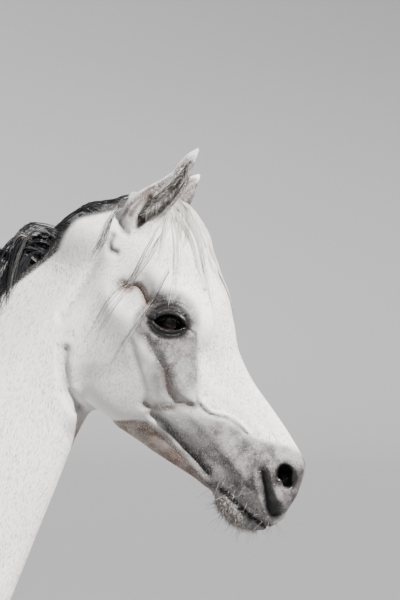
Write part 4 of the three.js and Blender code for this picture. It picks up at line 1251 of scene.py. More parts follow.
def markings_and_painted_light(x, y, z):
    """Colour weights of skin and coat: dark skin, grey skin, warm tint, and how bare the skin is. The
    weights also hold painted shade, and the lids' painted highlights.
    """
    along, up, out = to_head(x, y, z)
    ahead = smooth_step(up, -312, -296) * (z > 1300)
    marks = most(
        face_marks_and_shade(along, up, out, ahead), ear_marks_and_shade(along, up, out, ahead), body_marks(x, y, z, along)
    )
    return (1 - (1 - np.clip(marks, 0, 1)) ** MARK_POWER).astype(np.float32)


def lie_of_coat(x, y, z):
    """The way the hair lies, before it is laid along the skin."""
    along, up, out = to_head(x, y, z)
    neck_along, neck_up = to_neck(x, z)
    head_share = smooth_step(neck_along - 0.35 * neck_up, 640, 800)[:, None]
    front = smooth_step(up, -60, 10)
    cheek = smooth_step(-along, -330, -120) * (1 - front)
    face = turn_head(0.95 - 1.1 * cheek, -0.25 - 0.75 * cheek, 0 * out)
    length, across, depth = to_ear(along, up, out)
    on_ear = (length > -5) & (np.abs(across) < 45) & (np.abs(depth) < 36)
    ear = turn_head(math.cos(EAR_LEAN), math.sin(EAR_LEAN), 0 * out)
    face = np.where((on_ear & (up > 18))[:, None], ear, face)
    neck = np.array([-0.25, 0, -0.95])
    low = smooth_step(1000 - z, 0, 160)[:, None]  # on the legs
    trunk = together(-0.85, 0, -0.45 - 0.35 * smooth_step(x, -300, 300))
    ahead = smooth_step(neck_along, -60, 160)[:, None]
    body = trunk * (1 - ahead) + neck * ahead
    body = body * (1 - low) + np.array([-0.25, 0, -1.0]) * low
    way = body * (1 - head_share) + face * head_share
    sway = 0.16 * np.sin(x / 61 + z / 47) + 0.12 * np.sin(z / 29 - x / 37 + y / 41)
    return unit(way + sway[:, None] * np.array([0, 1, 0]))


def part_of(x, y, z):
    """Which piece of coat a point of the skin belongs to."""
    out = to_head(x, y, z)[2]
    neck_along = to_neck(x, z)[0]
    part = np.where(y < 0, "trunk_right", "trunk_left").astype("<U12")
    leg = (z < 930) & ((x > WITHERS_X - 20) | (x < WITHERS_X - 640)) & (np.abs(y) > 30)
    leg &= (z < 840) | (x < WITHERS_X - 640)
    part[leg & (x > 0)] = "forelegs"
    part[leg & (x < 0)] = "hindlegs"
    part[neck_along > 60] = "neck"
    face = (neck_along > 460) & (head_field(x, y, z) < neck_field(x, y, z))
    part[face & (out < 0)] = "head_right"
    part[face & (out >= 0)] = "head_left"
    return part


def chart(part, x, y, z):
    """Place on the unwrap of the skin of one part, between 0 and 1 each way."""
    if part.startswith("head"):
        along, up, out = to_head(x, y, z)
        length, across, depth = to_ear(along, up, out)
        ear = (length > 12) & (np.abs(across) < 45) & (np.abs(depth) < 36)
        turn = np.abs(np.arctan2(out, up + 90)) / math.pi
        u = np.where(ear, length / 145, (along + 110) / 690)
        ear_turn = np.arctan2(depth, across) / (2 * math.pi)
        v = np.where(ear, 0.8 + 0.19 * ear_turn + 0.095, 0.78 * turn)
    elif part == "neck":
        along, up = to_neck(x, z)
        u, v = (along - 40) / 800, 0.5 + np.arctan2(y, up + 230) / (2 * math.pi)
    elif part.startswith("trunk"):
        u, v = (x + 960) / 1560, np.abs(np.arctan2(y, z - 1150)) / math.pi
    elif part == "dock":
        u = np.clip((1400 - z) / 330, 0, 1)
        v = 0.5 + np.arctan2(y, x - WITHERS_X + 1150) / (2 * math.pi)
    elif part == "legs":
        return np.where((x > 0)[:, None], chart("forelegs", x, y, z), chart("hindlegs", x, y, z))
    else:
        kind = part[:4]
        u, v = z / 940, np.zeros(len(x))
        for side in (-1, 1):
            centre, _, _, middle = leg_section(kind, side, z)
            turn = 0.5 + np.arctan2(y - middle, x - centre) / (2 * math.pi)
            v = np.where(y * side > 0, 0.25 * (1 + side) + 0.49 * turn, v)
    return np.clip(np.stack([u, v], -1), 0.004, 0.996)


# ---------------------------------------------------------------- tufts, locks and strands

PATCH = 0.003  # size of one tuft on the bake's map
RIPPLE = 0.8  # how far a strand waves aside at its tip


def sliver_arrays(paths, width, height, normals):
    """Closed tapered slivers along paths, each with a flat underside and a ridge."""
    count, sections = paths.shape[:2]
    way = np.empty_like(paths)
    way[:, 1:-1] = paths[:, 2:] - paths[:, :-2]
    way[:, 0] = paths[:, 1] - paths[:, 0]
    way[:, -1] = paths[:, -1] - paths[:, -2]
    way = unit(way)
    if normals.ndim == 2:
        normals = np.repeat(normals[:, None], sections, 1)
    side = unit(np.cross(way, normals))
    top = np.cross(side, way)
    half, rise = width.reshape(count, -1, 1) / 2, height.reshape(count, -1, 1)
    body = slice(0, sections - 1)
    ring = np.stack(
        [
            paths[:, body] + side[:, body] * half[:, body],
            paths[:, body] - side[:, body] * half[:, body],
            paths[:, body] + top[:, body] * rise[:, body],
        ],
        2,
    ).reshape(count, -1, 3)
    points = np.concatenate([ring, paths[:, -1:]], 1)
    each = points.shape[1]
    tip = each - 1
    walls = []
    for k in range(sections - 2):
        for a in range(3):
            b = (a + 1) % 3
            walls.append((3 * k + a, 3 * k + b, 3 * k + 3 + b, 3 * k + 3 + a))
    last = 3 * (sections - 2)
    ends = [(last + a, last + (a + 1) % 3, tip) for a in range(3)] + [(0, 2, 1)]
    base = (np.arange(count) * each)[:, None, None]
    faces = [(np.array(ends)[None] + base).reshape(-1, 3)]
    if walls:
        faces.append((np.array(walls)[None] + base).reshape(-1, 4))
    step = np.repeat(np.arange(sections - 1), 3) / max(sections - 1, 1)
    local = np.concatenate([step, [1.0]]) - 0.5
    sideways = np.concatenate([np.tile([0.5, -0.5, 0.0], sections - 1), [0.0]])
    return points.reshape(-1, 3), faces, np.stack([local, sideways], -1) * PATCH


def taper(sections, width, fullest=0.35, root=0.7):
    """Widths along slivers: narrower at the root, fullest a little way up, and fine at the tip."""
    share = np.linspace(0, 1, sections)
    rise = root + (1 - root) * np.clip(share / fullest, 0, 1)
    fall = np.clip((1 - share) / (1 - fullest), 0.12, 1) ** 0.6
    return width[:, None] * (rise * np.minimum(fall, 1))[None]


def make_mesh(name, points, faces, material, smooth=True):
    """A linked object at the origin, made from points in millimetres."""
    mesh = bpy.data.meshes.new(name)
    fill_mesh(mesh, np.asarray(points) * MM, faces)
    if smooth:
        mesh.polygons.foreach_set("use_smooth", np.ones(len(mesh.polygons), bool))
    mesh.materials.append(material)
    piece = bpy.data.objects.new(name, mesh)
    bpy.context.collection.objects.link(piece)
    return piece


def set_colour(piece, name, values):
    """A colour attribute with a value at each point."""
    layer = piece.data.attributes.new(name, "FLOAT_COLOR", "POINT")
    layer.data.foreach_set("color", np.asarray(values, np.float32).ravel())


def set_number(piece, name, values):
    """A number attribute with a value at each point."""
    layer = piece.data.attributes.new(name, "FLOAT", "POINT")
    layer.data.foreach_set("value", np.asarray(values, np.float32))


def set_map(piece, places):
    """The bake's map, from a place on it for each point."""
    mesh = piece.data
    corner = np.empty(len(mesh.loops), np.int32)
    mesh.loops.foreach_get("vertex_index", corner)
    layer = mesh.uv_layers.new(name="OFBake")
    layer.uv.foreach_set("vector", np.clip(places[corner], 0, 1).astype(np.float32).ravel())


class Ground:
    """The finished skin's mesh, to lay hair on."""

    def __init__(self, points, triangles):
        self.tree = BVHTree.FromPolygons(points.tolist(), triangles.tolist())

    def raised(self, points, height):
        """The nearest points of the skin, raised over it."""
        laid = np.empty_like(points)
        for i, (point, rise) in enumerate(zip(points.tolist(), height)):
            place, normal, _, _ = self.tree.find_nearest(point)
            laid[i] = place + normal * rise
        return laid


def strand_piece(
    name, paths, width, height, normals, roots_map, tones, material, tint=None, smooth=True
):
    """One object of many slivers, with its map and its colours."""
    points, faces, local = sliver_arrays(paths, width, height, normals)
    each = len(local)
    piece = make_mesh(name, points, faces, material, smooth)
    set_map(piece, np.repeat(roots_map, each, 0) + np.tile(local, (len(paths), 1)))
    set_number(piece, "tone", np.repeat(tones, each))
    if tint is not None:
        set_colour(piece, "tint", np.repeat(tint, each, 0))
    return piece


def tangent(way, normal):
    """The part of a direction that lies along a surface."""
    return unit(way - normal * np.sum(way * normal, -1, keepdims=True))


def scatter(points, triangles, count, rng):
    """Random places on triangles, spread by area."""
    a, b, c = (points[triangles[:, i]] for i in range(3))
    area = np.linalg.norm(np.cross(b - a, c - a), axis=1)
    pick = rng.choice(len(triangles), count, p=area / area.sum())
    r, s = np.sqrt(rng.random(count))[:, None], rng.random(count)[:, None]
    return a[pick] * (1 - r) + b[pick] * r * (1 - s) + c[pick] * r * s


def comb(roots, way, length, sections, lift, pull, bend, hug):
    """Paths that start at roots, fall under their own weight and rest on the surface.

    A path above the surface is drawn back to it by at most the hug at each step."""
    stride = (length / (sections - 1))[:, None]
    point, paths, normals = roots, [roots], []
    _, normal, _ = sense(point)
    normals.append(normal)
    for k in range(1, sections):
        way = unit(way + pull * np.array([0, 0, -1.0]) + bend[:, k - 1])
        point = point + way * stride
        for _ in range(2):
            value, normal, steepness = sense(point, 1.5)
            point = point + (np.clip(lift[:, k] - value, -hug, 60) / steepness)[:, None] * normal
        way = unit(point - paths[-1])
        paths.append(point)
        normals.append(normal)
    return np.stack(paths, 1), np.stack(normals, 1)


def on_cheek(along, up):
    """Points of the skin at places of the right side of the head."""
    inner, outer = np.full(len(along), 20.0), np.full(len(along), 140.0)
    for _ in range(14):
        middle = (inner + outer) / 2
        inside = skin_field(*from_head(along, up, -middle).T) < 0
        inner, outer = np.where(inside, middle, inner), np.where(inside, outer, middle)
    return from_head(along, up, -outer)


def lock_strands(guides, normals, per_lock, spread, gather, rng):
    """Strands that run beside each guide path and draw together towards its tip."""
    count, sections = guides.shape[:2]
    way = unit(np.gradient(guides, axis=1))
    side = unit(np.cross(way, normals))
    share = np.linspace(0, 1, sections)
    across = rng.uniform(-1, 1, (count, per_lock))
    rise = rng.uniform(0, 1, (count, per_lock))
    close = 1 - gather * share
    wave = np.sin(rng.uniform(0, 6.28, (count, per_lock, 1)) + share * rng.uniform(4, 11))
    offset = across[:, :, None] * spread * close + RIPPLE * wave * share
    height = rise[:, :, None] * spread * 0.55 * close + 0.3
    paths = (
        guides[:, None]
        + side[:, None] * offset[..., None]
        + normals[:, None] * height[..., None]
    )
    reach = rng.uniform(0.72, 1.0, (count, per_lock))
    stop = reach[:, :, None] * np.linspace(0, sections - 1, sections)
    low = np.minimum(stop.astype(int), sections - 2)
    part = (stop - low)[..., None]
    i, j = np.indices((count, per_lock))
    paths = (
        paths[i[..., None], j[..., None], low] * (1 - part)
        + paths[i[..., None], j[..., None], low + 1] * part
    )
    flat = np.repeat(normals[:, None], per_lock, 1)
    return paths.reshape(-1, sections, 3), flat.reshape(-1, sections, 3)

# ---------------------------------------------------------------- materials


class Socket:
    """A node's output that takes part in Python expressions."""

    def __init__(self, maker, socket):
        self.maker, self.socket = maker, socket

    def math(self, operation, first, second=0.0):
        return self.maker.node("ShaderNodeMath", {"operation": operation}, {0: first, 1: second})

    def __add__(self, other):
        return self.math("ADD", self, other)

    def __sub__(self, other):
        return self.math("SUBTRACT", self, other)

    def __rsub__(self, other):
        return self.math("SUBTRACT", other, self)

    def __mul__(self, other):
        return self.math("MULTIPLY", self, other)

    __radd__ = __add__
    __rmul__ = __mul__

    def above(self, edge, width):
        """0 under an edge, rising to 1 over a width."""
        return self.maker.node(
            "ShaderNodeMapRange",
            {"interpolation_type": "SMOOTHSTEP"},
            {"Value": self, "From Min": edge, "From Max": edge + width},
        )


class Maker:
    """One material, and the one method that adds its nodes."""

    def __init__(self, name):
        self.material = bpy.data.materials.new(name)
        self.material.use_nodes = True
        self.tree = self.material.node_tree
        self.tree.nodes.clear()
        self.shader = self.tree.nodes.new("ShaderNodeBsdfPrincipled")
        end = self.tree.nodes.new("ShaderNodeOutputMaterial")
        self.tree.links.new(self.shader.outputs[0], end.inputs[0])

    def node(self, kind, settings=None, inputs=None, output=0):
        made = self.tree.nodes.new(kind)
        for key, value in (settings or {}).items():
            setattr(made, key, value)
        for key, value in (inputs or {}).items():
            self.fill(made.inputs[key], value)
        return Socket(self, made.outputs[output])

    def fill(self, socket, value):
        if isinstance(value, Socket):
            self.tree.links.new(value.socket, socket)
        else:
            socket.default_value = value

    def finish(self, **values):
        """Sets the shader's inputs, named with _ for a space."""
        for key, value in values.items():
            self.fill(self.shader.inputs[key.replace("_", " ")], value)
        return self.material

    def place(self):
        return self.node("ShaderNodeTexCoord", output="Object")

    def noise(self, scale, detail=2.0, place=None, rough=0.5):
        return self.node(
            "ShaderNodeTexNoise",
            inputs={"Vector": place or self.place(), "Scale": scale, "Detail": detail, "Roughness": rough},
        )

    def stretched(self, x, y, z):
        """Object coordinates with a scale on each axis."""
        return self.node("ShaderNodeMapping", inputs={"Vector": self.place(), "Scale": (x, y, z)})

    def number(self, name, output="Fac"):
        """A piece's own attribute."""
        return self.node("ShaderNodeAttribute", {"attribute_name": name}, output=output)

    def parts(self, name):
        """Red, green and blue of a colour attribute."""
        inputs = {"Color": self.number(name, "Color")}
        return [self.node("ShaderNodeSeparateColor", inputs=inputs, output=i) for i in range(3)]

    def cells(self, scale, settings=None, **inputs):
        """Distance to the nearest of many scattered points."""
        inputs = {"Vector": self.place(), "Scale": scale, **inputs}
        return self.node("ShaderNodeTexVoronoi", settings, inputs)

    def mix(self, share, first, second):
        """Two colours, mixed by a share between 0 and 1."""
        made = self.tree.nodes.new("ShaderNodeMix")
        made.data_type = "RGBA"
        for index, value in ((0, share), (6, first), (7, second)):
            self.fill(made.inputs[index], value)
        return Socket(self, made.outputs[2])

    def bump(self, height, strength, distance):
        inputs = {"Height": height, "Strength": strength, "Distance": distance}
        return self.node("ShaderNodeBump", inputs=inputs)


def rgba(colour):
    return (*colour, 1.0)


def coat_material(name, looks, grain):
    """White coat over grey skin, with its markings and its painted shade and highlights in the tint
    attribute.
    """
    m = Maker(name)
    dark, grey, warm = m.parts("tint")
    bare = m.number("tint", "Alpha")
    tone = m.number("tone")
    mottle = m.noise(46, 4, rough=0.62).above(0.34, 0.34)
    fine = m.noise(310, 3, rough=0.6)
    cloud = m.noise(7, 2)
    base = m.mix(tone * 0.35, rgba(looks.white), rgba(looks.shade))
    base = m.mix(cloud.above(0.5, 0.3) * 0.14, base, rgba(looks.shade))
    grey_share = grey * (0.78 + 0.26 * mottle) + (fine - 0.5) * grey * 0.5
    base = m.mix(grey_share, base, rgba(looks.grey_skin))
    base = m.mix(warm * (0.75 + 0.25 * mottle), base, rgba(looks.warm))
    base = m.mix(dark * (0.98 + 0.24 * (fine - 0.5)), base, rgba(looks.dark_skin_and_shade))
    speck = m.cells(13.0, Randomness=1.0)
    base = m.mix((1 - speck.above(0.008, 0.012)) * 0.6, base, rgba(looks.speck))
    if grain:
        wrinkle = m.cells(330.0, {"feature": "SMOOTH_F1"}, Smoothness=0.6)
        hair = m.noise(1.0, 2, m.stretched(260, 900, 340))
        height = wrinkle * bare + hair * (1 - bare) * 0.8 + fine * 0.25
        m.finish(Normal=m.bump(height, 0.55, 0.0007))
    return m.finish(Base_Color=base, Roughness=0.68 - 0.4 * dark * bare, Specular_IOR_Level=0.25)


def hair_material(name, dark, pale):
    """Long hair whose strands run from dark to pale by their tone."""
    m = Maker(name)
    tone = m.number("tone")
    streak = m.noise(120, 2)
    base = m.mix(tone * tone * (0.8 + 0.4 * streak), rgba(dark), rgba(pale))
    rough = 0.42 + 0.2 * streak
    return m.finish(Base_Color=base, Roughness=rough, Specular_IOR_Level=0.35)


def eye_material(name, looks):
    """Brown eye with a dark, wide pupil under a clear wet surface."""
    m = Maker(name)
    iris, pupil, rim = m.parts("ring")
    fibre = m.noise(420, 3)
    brown = m.mix(fibre * 0.7, rgba(looks.iris), (0.05, 0.018, 0.009, 1))
    base = m.mix(iris, (0.05, 0.03, 0.026, 1), brown)
    base = m.mix(rim, base, (0.012, 0.008, 0.007, 1))
    base = m.mix(pupil, base, (0.003, 0.003, 0.005, 1))
    return m.finish(
        Base_Color=base, Roughness=0.12 + 0.06 * fibre, IOR=1.4, Coat_Weight=1.0, Coat_Roughness=0.02
    )


def horn_material(name, looks):
    """Dark horn with growth rings and paler streaks that run down it."""
    m = Maker(name)
    streak = m.noise(1.0, 3, m.stretched(210, 210, 14)).above(0.42, 0.3)
    band = m.noise(1.0, 2, m.stretched(9, 9, 260))
    wear = m.number("tone")
    base = m.mix(streak * 0.65, rgba(looks.horn), rgba(looks.pale_horn))
    base = m.mix(band * 0.35, base, (0.03, 0.027, 0.024, 1))
    base = m.mix(wear, base, rgba(looks.pale_horn))
    height = band * 0.7 + streak * 0.3
    return m.finish(
        Base_Color=base, Roughness=0.42 + 0.3 * band, Normal=m.bump(height, 0.6, 0.0008)
    )


def plain_material(name, colour, roughness):
    """A studio surface with a faint unevenness."""
    m = Maker(name)
    cloud = m.noise(0.7, 3)
    base = m.mix(cloud * 0.3, rgba(colour), rgba([c * 0.94 for c in colour]))
    return m.finish(Base_Color=base, Roughness=roughness + 0.05 * cloud, Specular_IOR_Level=0.2)


# ---------------------------------------------------------------- settings


def length_setting(name, description, default):
    return bpy.props.FloatProperty(
        name=name, description=description, default=default, unit="LENGTH", precision=4
    )


def colour_setting(name, description, default):
    return bpy.props.FloatVectorProperty(
        name=name, description=description, default=default, size=3, min=0, max=1, subtype="COLOR"
    )


def count_setting(name, description, default):
    return bpy.props.IntProperty(name=name, description=description, default=default, min=1)


class HorseLooks(bpy.types.PropertyGroup):
    """Colours of the horse."""

    white: colour_setting("White", "Colour of the coat", (0.88, 0.855, 0.83))
    shade: colour_setting("Shade", "Colour of its darker hairs", (0.60, 0.575, 0.565))
    # Grey skin, dark skin and warm also paint shade on the head: in its folds, nostril slit and mouth, under
    # the crest and jaw, round the temple and eye, and in the ears' hollows and folds.
    grey_skin: colour_setting("Grey skin", "Thinly haired skin of the muzzle", (0.095, 0.084, 0.085))
    dark_skin_and_shade: colour_setting("Dark skin", "Lids, nostrils and lips", (0.010, 0.009, 0.009))
    warm: colour_setting("Warm", "Tan tint of the jaw, chin and ears", (0.17, 0.112, 0.085))
    speck: colour_setting("Specks", "Small dark specks in the coat", (0.16, 0.13, 0.13))
    dark_hair: colour_setting("Dark hair", "Darkest hair of mane and tail", (0.009, 0.010, 0.013))
    pale_hair: colour_setting("Pale hair", "Palest hair of mane and tail", (0.90, 0.86, 0.80))
    iris: colour_setting("Iris", "Colour of the iris", (0.016, 0.006, 0.004))
    horn: colour_setting("Horn", "Colour of the hooves", (0.075, 0.066, 0.06))
    pale_horn: colour_setting("Pale horn", "Streaks of the hooves", (0.27, 0.23, 0.19))


class HorseSizes(bpy.types.PropertyGroup):
    """Sizes of the horse's skin, coat and hair."""

    body_step: length_setting("Body mesh", "Size of the faces of the body", 0.013)
    face_step: length_setting("Face mesh", "Size of the faces of the head", 0.004)
    face_hair: length_setting("Face hair", "Length of the hair on the face", 0.007)
    body_hair: length_setting("Body hair", "Length of the hair on the body", 0.015)
    mane_hair: length_setting("Mane", "Length of the mane on the left side", 0.24)
    forelock_hair: length_setting("Forelock", "Length of the forelock", 0.25)
    whisker: length_setting("Whiskers", "Length of the longest whiskers", 0.034)
    face_tufts: count_setting("Face tufts", "Tufts on each side of the head", 42000)
    neck_tufts: count_setting("Neck tufts", "Tufts on the neck", 46000)
    trunk_tufts: count_setting("Trunk tufts", "Tufts on each side of the trunk", 38000)
    leg_tufts: count_setting("Leg tufts", "Tufts on each pair of legs", 25000)
    mane_locks: count_setting("Mane locks", "Locks of the mane that fall to the left", 240)
    near_locks: count_setting("Near locks", "Locks of the mane that fall to the right", 105)
    tail_locks: count_setting("Tail locks", "Locks of the tail", 150)
    seed: count_setting("Seed", "Start of every random draw", 11)


class HorseStudio(bpy.types.PropertyGroup):
    """Sizes and colours of the stage."""

    floor: colour_setting("Floor", "Colour of the floor", (0.20, 0.20, 0.205))
    floor_radius: length_setting("Floor radius", "Where the floor begins to rise", 17.0)
    distance: length_setting("Distance", "From the camera to the head", 3.05)
    view_height: length_setting("View height", "Height of what the camera sees at that distance", 0.9839)


def sizes():
    """The sizes set in the panel."""
    return bpy.context.scene.horse_sizes


def looks():
    """The colours set in the panel."""
    return bpy.context.scene.horse_looks


def draws(offset):
    """Random numbers that are the same in every run."""
    return np.random.default_rng(sizes().seed * 100 + offset)


def coat_finish():
    """The material of every tuft of the coat, made the first time."""
    return bpy.data.materials.get("coat") or coat_material("coat", looks(), False)


def hair_finish():
    """The material of all long hair, made the first time."""
    made = bpy.data.materials.get("long_hair")
    return made or hair_material("long_hair", looks().dark_hair, looks().pale_hair)


def skin_surface():
    """Points, in millimetres, and triangles of the finished skin."""
    mesh = bpy.data.objects["skin"].data
    points = np.empty(len(mesh.vertices) * 3, np.float32)
    mesh.vertices.foreach_get("co", points)
    mesh.calc_loop_triangles()
    triangles = np.empty(len(mesh.loop_triangles) * 3, np.int32)
    mesh.loop_triangles.foreach_get("vertices", triangles)
    return points.reshape(-1, 3).astype(float) / MM, triangles.reshape(-1, 3)


def own(piece, slot, *nodes):
    """Ties a finished piece to the frame."""
    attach(piece, "root")
    if nodes:
        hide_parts(*nodes)


# ---------------------------------------------------------------- skin, eyes and hooves

def ring_grid(rings, columns):
    """Numbers of the points of rings that follow each other, and of the next point round each."""
    grid = np.arange(rings * columns).reshape(rings, columns)
    return grid, np.roll(grid, -1, 1)


def quads_of(*corners):
    """Quads from the numbers of their corners."""
    return np.stack(corners, -1).reshape(-1, 4)


def fan(tip, first, second):
    """Triangles between one point and the two ends of each step of a ring."""
    return np.stack([np.full(len(first), tip), first, second], -1)


FLESH = ["head", "neck", "trunk", "ear_right", "ear_left"] + [
    f"{kind}leg_{side}_{part}" for kind in STRIDES for side in SIDES for part in ("upper", "lower")
]


class BuildSkin(bpy.types.Operator):
    """Makes the one skin that covers head, neck, trunk, ears and legs"""

    bl_idname = "horse.build_skin"
    bl_label = "Build skin"

    def execute(self, context):
        size = sizes()
        points, faces = skin_arrays(size.body_step / MM, size.face_step / MM)
        finish = coat_material("skin", looks(), True)
        piece = make_mesh("skin", points, faces, finish)
        set_colour(piece, "tint", markings_and_painted_light(*points.T))
        set_number(piece, "tone", np.full(len(points), 0.3))
        own(piece, "coat", *FLESH)
        return {"FINISHED"}


class BuildEyes(bpy.types.Operator):
    """Makes both eyes, each with its cornea, iris and pupil"""

    bl_idname = "horse.build_eyes"
    bl_label = "Build eyes"

    def execute(self, context):
        rings, columns = 40, 56
        angle = math.pi * np.linspace(0, 1, rings + 1)[1:-1, None]
        turn = 2 * math.pi * np.arange(columns)[None] / columns
        cornea = CORNEA * (1 - smooth_step(angle, 0.1, 0.75))
        poles = np.array([[0, 0, 1 + CORNEA], [0, 0, -1.0]])
        ball = together(np.sin(angle) * np.cos(turn), np.sin(angle) * np.sin(turn), np.cos(angle))
        ball = ball * (1 + cornea[..., None])
        ball = np.concatenate([ball.reshape(-1, 3), poles]) * (EYE_RADIUS - 0.6)
        radius = np.hypot(ball[:, 0], ball[:, 1])
        iris = 1 - smooth_step(radius, 14.5, 16.5)
        pupil = 1 - smooth_step(np.hypot(ball[:, 0] / 8.6, ball[:, 1] / 4.6), 0.85, 1.1)
        rim = np.exp(-(((radius - 16.0) / 1.7) ** 2))
        front = ball[:, 2] > 0
        ring = np.stack([iris * front, pupil * front, rim * front, np.ones(len(ball))], -1)
        wall, after = ring_grid(rings - 1, columns)
        faces = [
            quads_of(wall[:-1], wall[1:], after[1:], after[:-1]),
            fan(len(ball) - 2, wall[0], after[0]),
            fan(len(ball) - 1, after[-1], wall[-1]),
        ]
        finish = eye_material("eye", looks())
        u, v, out = ball.T
        along = EYE_CENTRE[0] + u * EYE_DIP[0] - v * EYE_DIP[1]
        up = EYE_CENTRE[1] + u * EYE_DIP[1] + v * EYE_DIP[0]
        for name, side in SIDES.items():
            points = from_head(along, up, (EYE_CENTRE[2] + out) * side)
            turned = faces if side < 0 else [f[:, ::-1] for f in faces]
            piece = make_mesh(f"eyeball_{name}", points, turned, finish)
            set_colour(piece, "ring", ring)
            own(piece, "eye", f"eye_{name}")
        return {"FINISHED"}


def hoof_ring(kind, side, rise, turns, inset=0.0):
    """Points round a hoof, from the floor at 0 to the coronet at 1."""
    centre, half_length, _, middle = leg_section(kind, side, np.array([float(HOOF_WALL)]))
    front, rear = float((centre + half_length)[0]), float((centre - half_length)[0])
    toe, heel = front + 5 + HOOF_SLOPE * HOOF_WALL, rear + 24
    front_x = toe + (front + 5 - toe) * rise
    rear_x = heel + (rear + 2 - heel) * rise
    half_width = HOOF_HALF_WIDTH + (50 - HOOF_HALF_WIDTH) * rise
    ahead = (1 + np.cos(turns)) / 2
    across = np.sign(np.sin(turns)) * np.abs(np.sin(turns)) ** (0.75 + 0.25 * ahead)
    x = rear_x + (front_x - rear_x) * ahead
    y = half_width * across * (0.86 + 0.14 * ahead)
    z = rise * (HEEL_HEIGHT + (HOOF_WALL - HEEL_HEIGHT) * ahead)
    x_middle = (front_x + rear_x) / 2
    scale = 1 - inset / 55
    return np.stack([x_middle + (x - x_middle) * scale, float(middle[0]) + y * scale, z + 0 * x], -1)


# Rings of the hollow sole and of the top under the coronet: how far inside the wall, and how far up or down.
SOLE_RINGS = ((46, 7.0), (30, 6.5), (18, 5.0), (11, 3.5), (8.5, 0.3), (5, 0.0))
TOP_RINGS = ((3, 0.6), (9, 3.0), (24, 5.0))


class BuildHooves(bpy.types.Operator):
    """Makes the four hooves, with growth rings, a coronet and a hollow sole"""

    bl_idname = "horse.build_hooves"
    bl_label = "Build hooves"

    def execute(self, context):
        finish = horn_material("horn", looks())
        columns = 72
        turns = 2 * math.pi * np.arange(columns) / columns
        for kind in STRIDES:
            for name, side in SIDES.items():
                rings = self.rings(kind, side, turns)
                points = np.concatenate(rings + [rings[0].mean(0)[None], rings[-1].mean(0)[None]])
                points[:, 2] = np.maximum(points[:, 2], 0)
                grid, after = ring_grid(len(rings), columns)
                faces = [
                    quads_of(grid[:-1], after[:-1], after[1:], grid[1:]),
                    fan(len(points) - 2, after[0], grid[0]),
                    fan(len(points) - 1, grid[-1], after[-1]),
                ]
                piece = make_mesh(f"hoof_{kind}_{name}", points, faces, finish)
                wear = 0.8 * hump(points[:, 2], 5) + 0.35 * hump(points[:, 2] - 80, 12)
                set_number(piece, "tone", wear)
                own(piece, "horn", f"{kind}_hoof_{name}")
        return {"FINISHED"}

    def rings(self, kind, side, turns):
        """Rings of the sole, the wall and the top of one hoof."""
        rings = []
        for inset, lift in SOLE_RINGS:
            ring = hoof_ring(kind, side, 0.0, turns, inset)
            ring[:, 2] = lift
            rings.append(ring)
        for rise in np.linspace(0, 1, 26):
            growth = 0.45 * math.sin(rise * 44) * (0.3 + 0.7 * rise)
            coronet = 0.8 * hump(rise - 0.97, 0.05)
            rings.append(hoof_ring(kind, side, rise, turns, 0.6 - growth - coronet))
        for inset, drop in TOP_RINGS:
            ring = hoof_ring(kind, side, 1.0, turns, inset)
            ring[:, 2] -= drop
            rings.append(ring)
        return rings


# ---------------------------------------------------------------- coat and hair


def lay_tufts(name, part, ground, roots, length, width, rng):
    """One piece of the coat: tufts that lie along the skin at their roots."""
    tint = markings_and_painted_light(*roots.T)
    keep = tint[:, 3] < rng.uniform(0.3, 0.75, len(roots))
    roots, tint = roots[keep], tint[keep]
    normal = sense(roots)[1]
    count = len(roots)
    way = tangent(lie_of_coat(*roots.T) + rng.normal(0, 0.13, (count, 3)), normal)
    reach = length * rng.uniform(0.7, 1.15, count)
    reach = reach * (1 - 0.4 * tint[:, :3].max(1))
    lift = rng.uniform(0.08, 0.22, count)
    tips = ground.raised(roots + way * reach[:, None], lift * 1.3)
    paths = np.stack([roots - normal * 0.15, tips], 1)
    widths = taper(2, width * rng.uniform(0.7, 1.2, count))
    tones = np.clip(rng.normal(0.3, 0.2, count), 0, 1)
    places = chart(part, *roots.T)
    piece = strand_piece(
        name, paths, widths, widths * 0.05, normal, places, tones, coat_finish(), tint, False
    )
    own(piece, "coat")


class BuildCoat(bpy.types.Operator):
    """Lays the short hair of the coat over the skin in overlapping tufts"""

    bl_idname = "horse.build_coat"
    bl_label = "Build coat"

    def execute(self, context):
        size = sizes()
        points, triangles = skin_surface()
        parts = part_of(*points[triangles].mean(1).T)
        ground = Ground(points, triangles)
        face, body = size.face_hair / MM, size.body_hair / MM
        plan = {
            "head_right": (size.face_tufts, face, 0.85),
            "head_left": (size.face_tufts, face, 0.85),
            "neck": (size.neck_tufts, body * 0.8, 1.1),
            "trunk_right": (size.trunk_tufts, body, 1.7),
            "trunk_left": (size.trunk_tufts, body, 1.7),
            "forelegs": (size.leg_tufts, body * 0.7, 1.2),
            "hindlegs": (size.leg_tufts, body * 0.7, 1.2),
        }
        for number, (part, (count, length, width)) in enumerate(plan.items()):
            rng = draws(number)
            roots = scatter(points, triangles[parts == part], count, rng)
            roots = roots[roots[:, 2] > COAT_END]
            lay_tufts(f"coat_{part}", part, ground, roots, length, width, rng)
        return {"FINISHED"}


def seat(roots):
    """Roots brought onto the skin."""
    for _ in range(6):
        value, slope, steepness = sense(roots)
        roots = roots - (np.clip(value, -20, 20) / steepness)[:, None] * slope
    return roots


def crest_roots(along, y):
    """Points of the skin along the crest of the neck."""
    return seat(from_neck(along, look_up(NECK_TABLE, along)[0] + 2, y))


def wander(rng, count, sections, size, forward):
    """How a lock turns aside at each step, at random, and forward or back."""
    bend = np.cumsum(rng.normal(0, size, (count, sections - 1, 3)), 1)
    bend[:, :, 0] += np.reshape(forward, (-1, 1))
    return bend


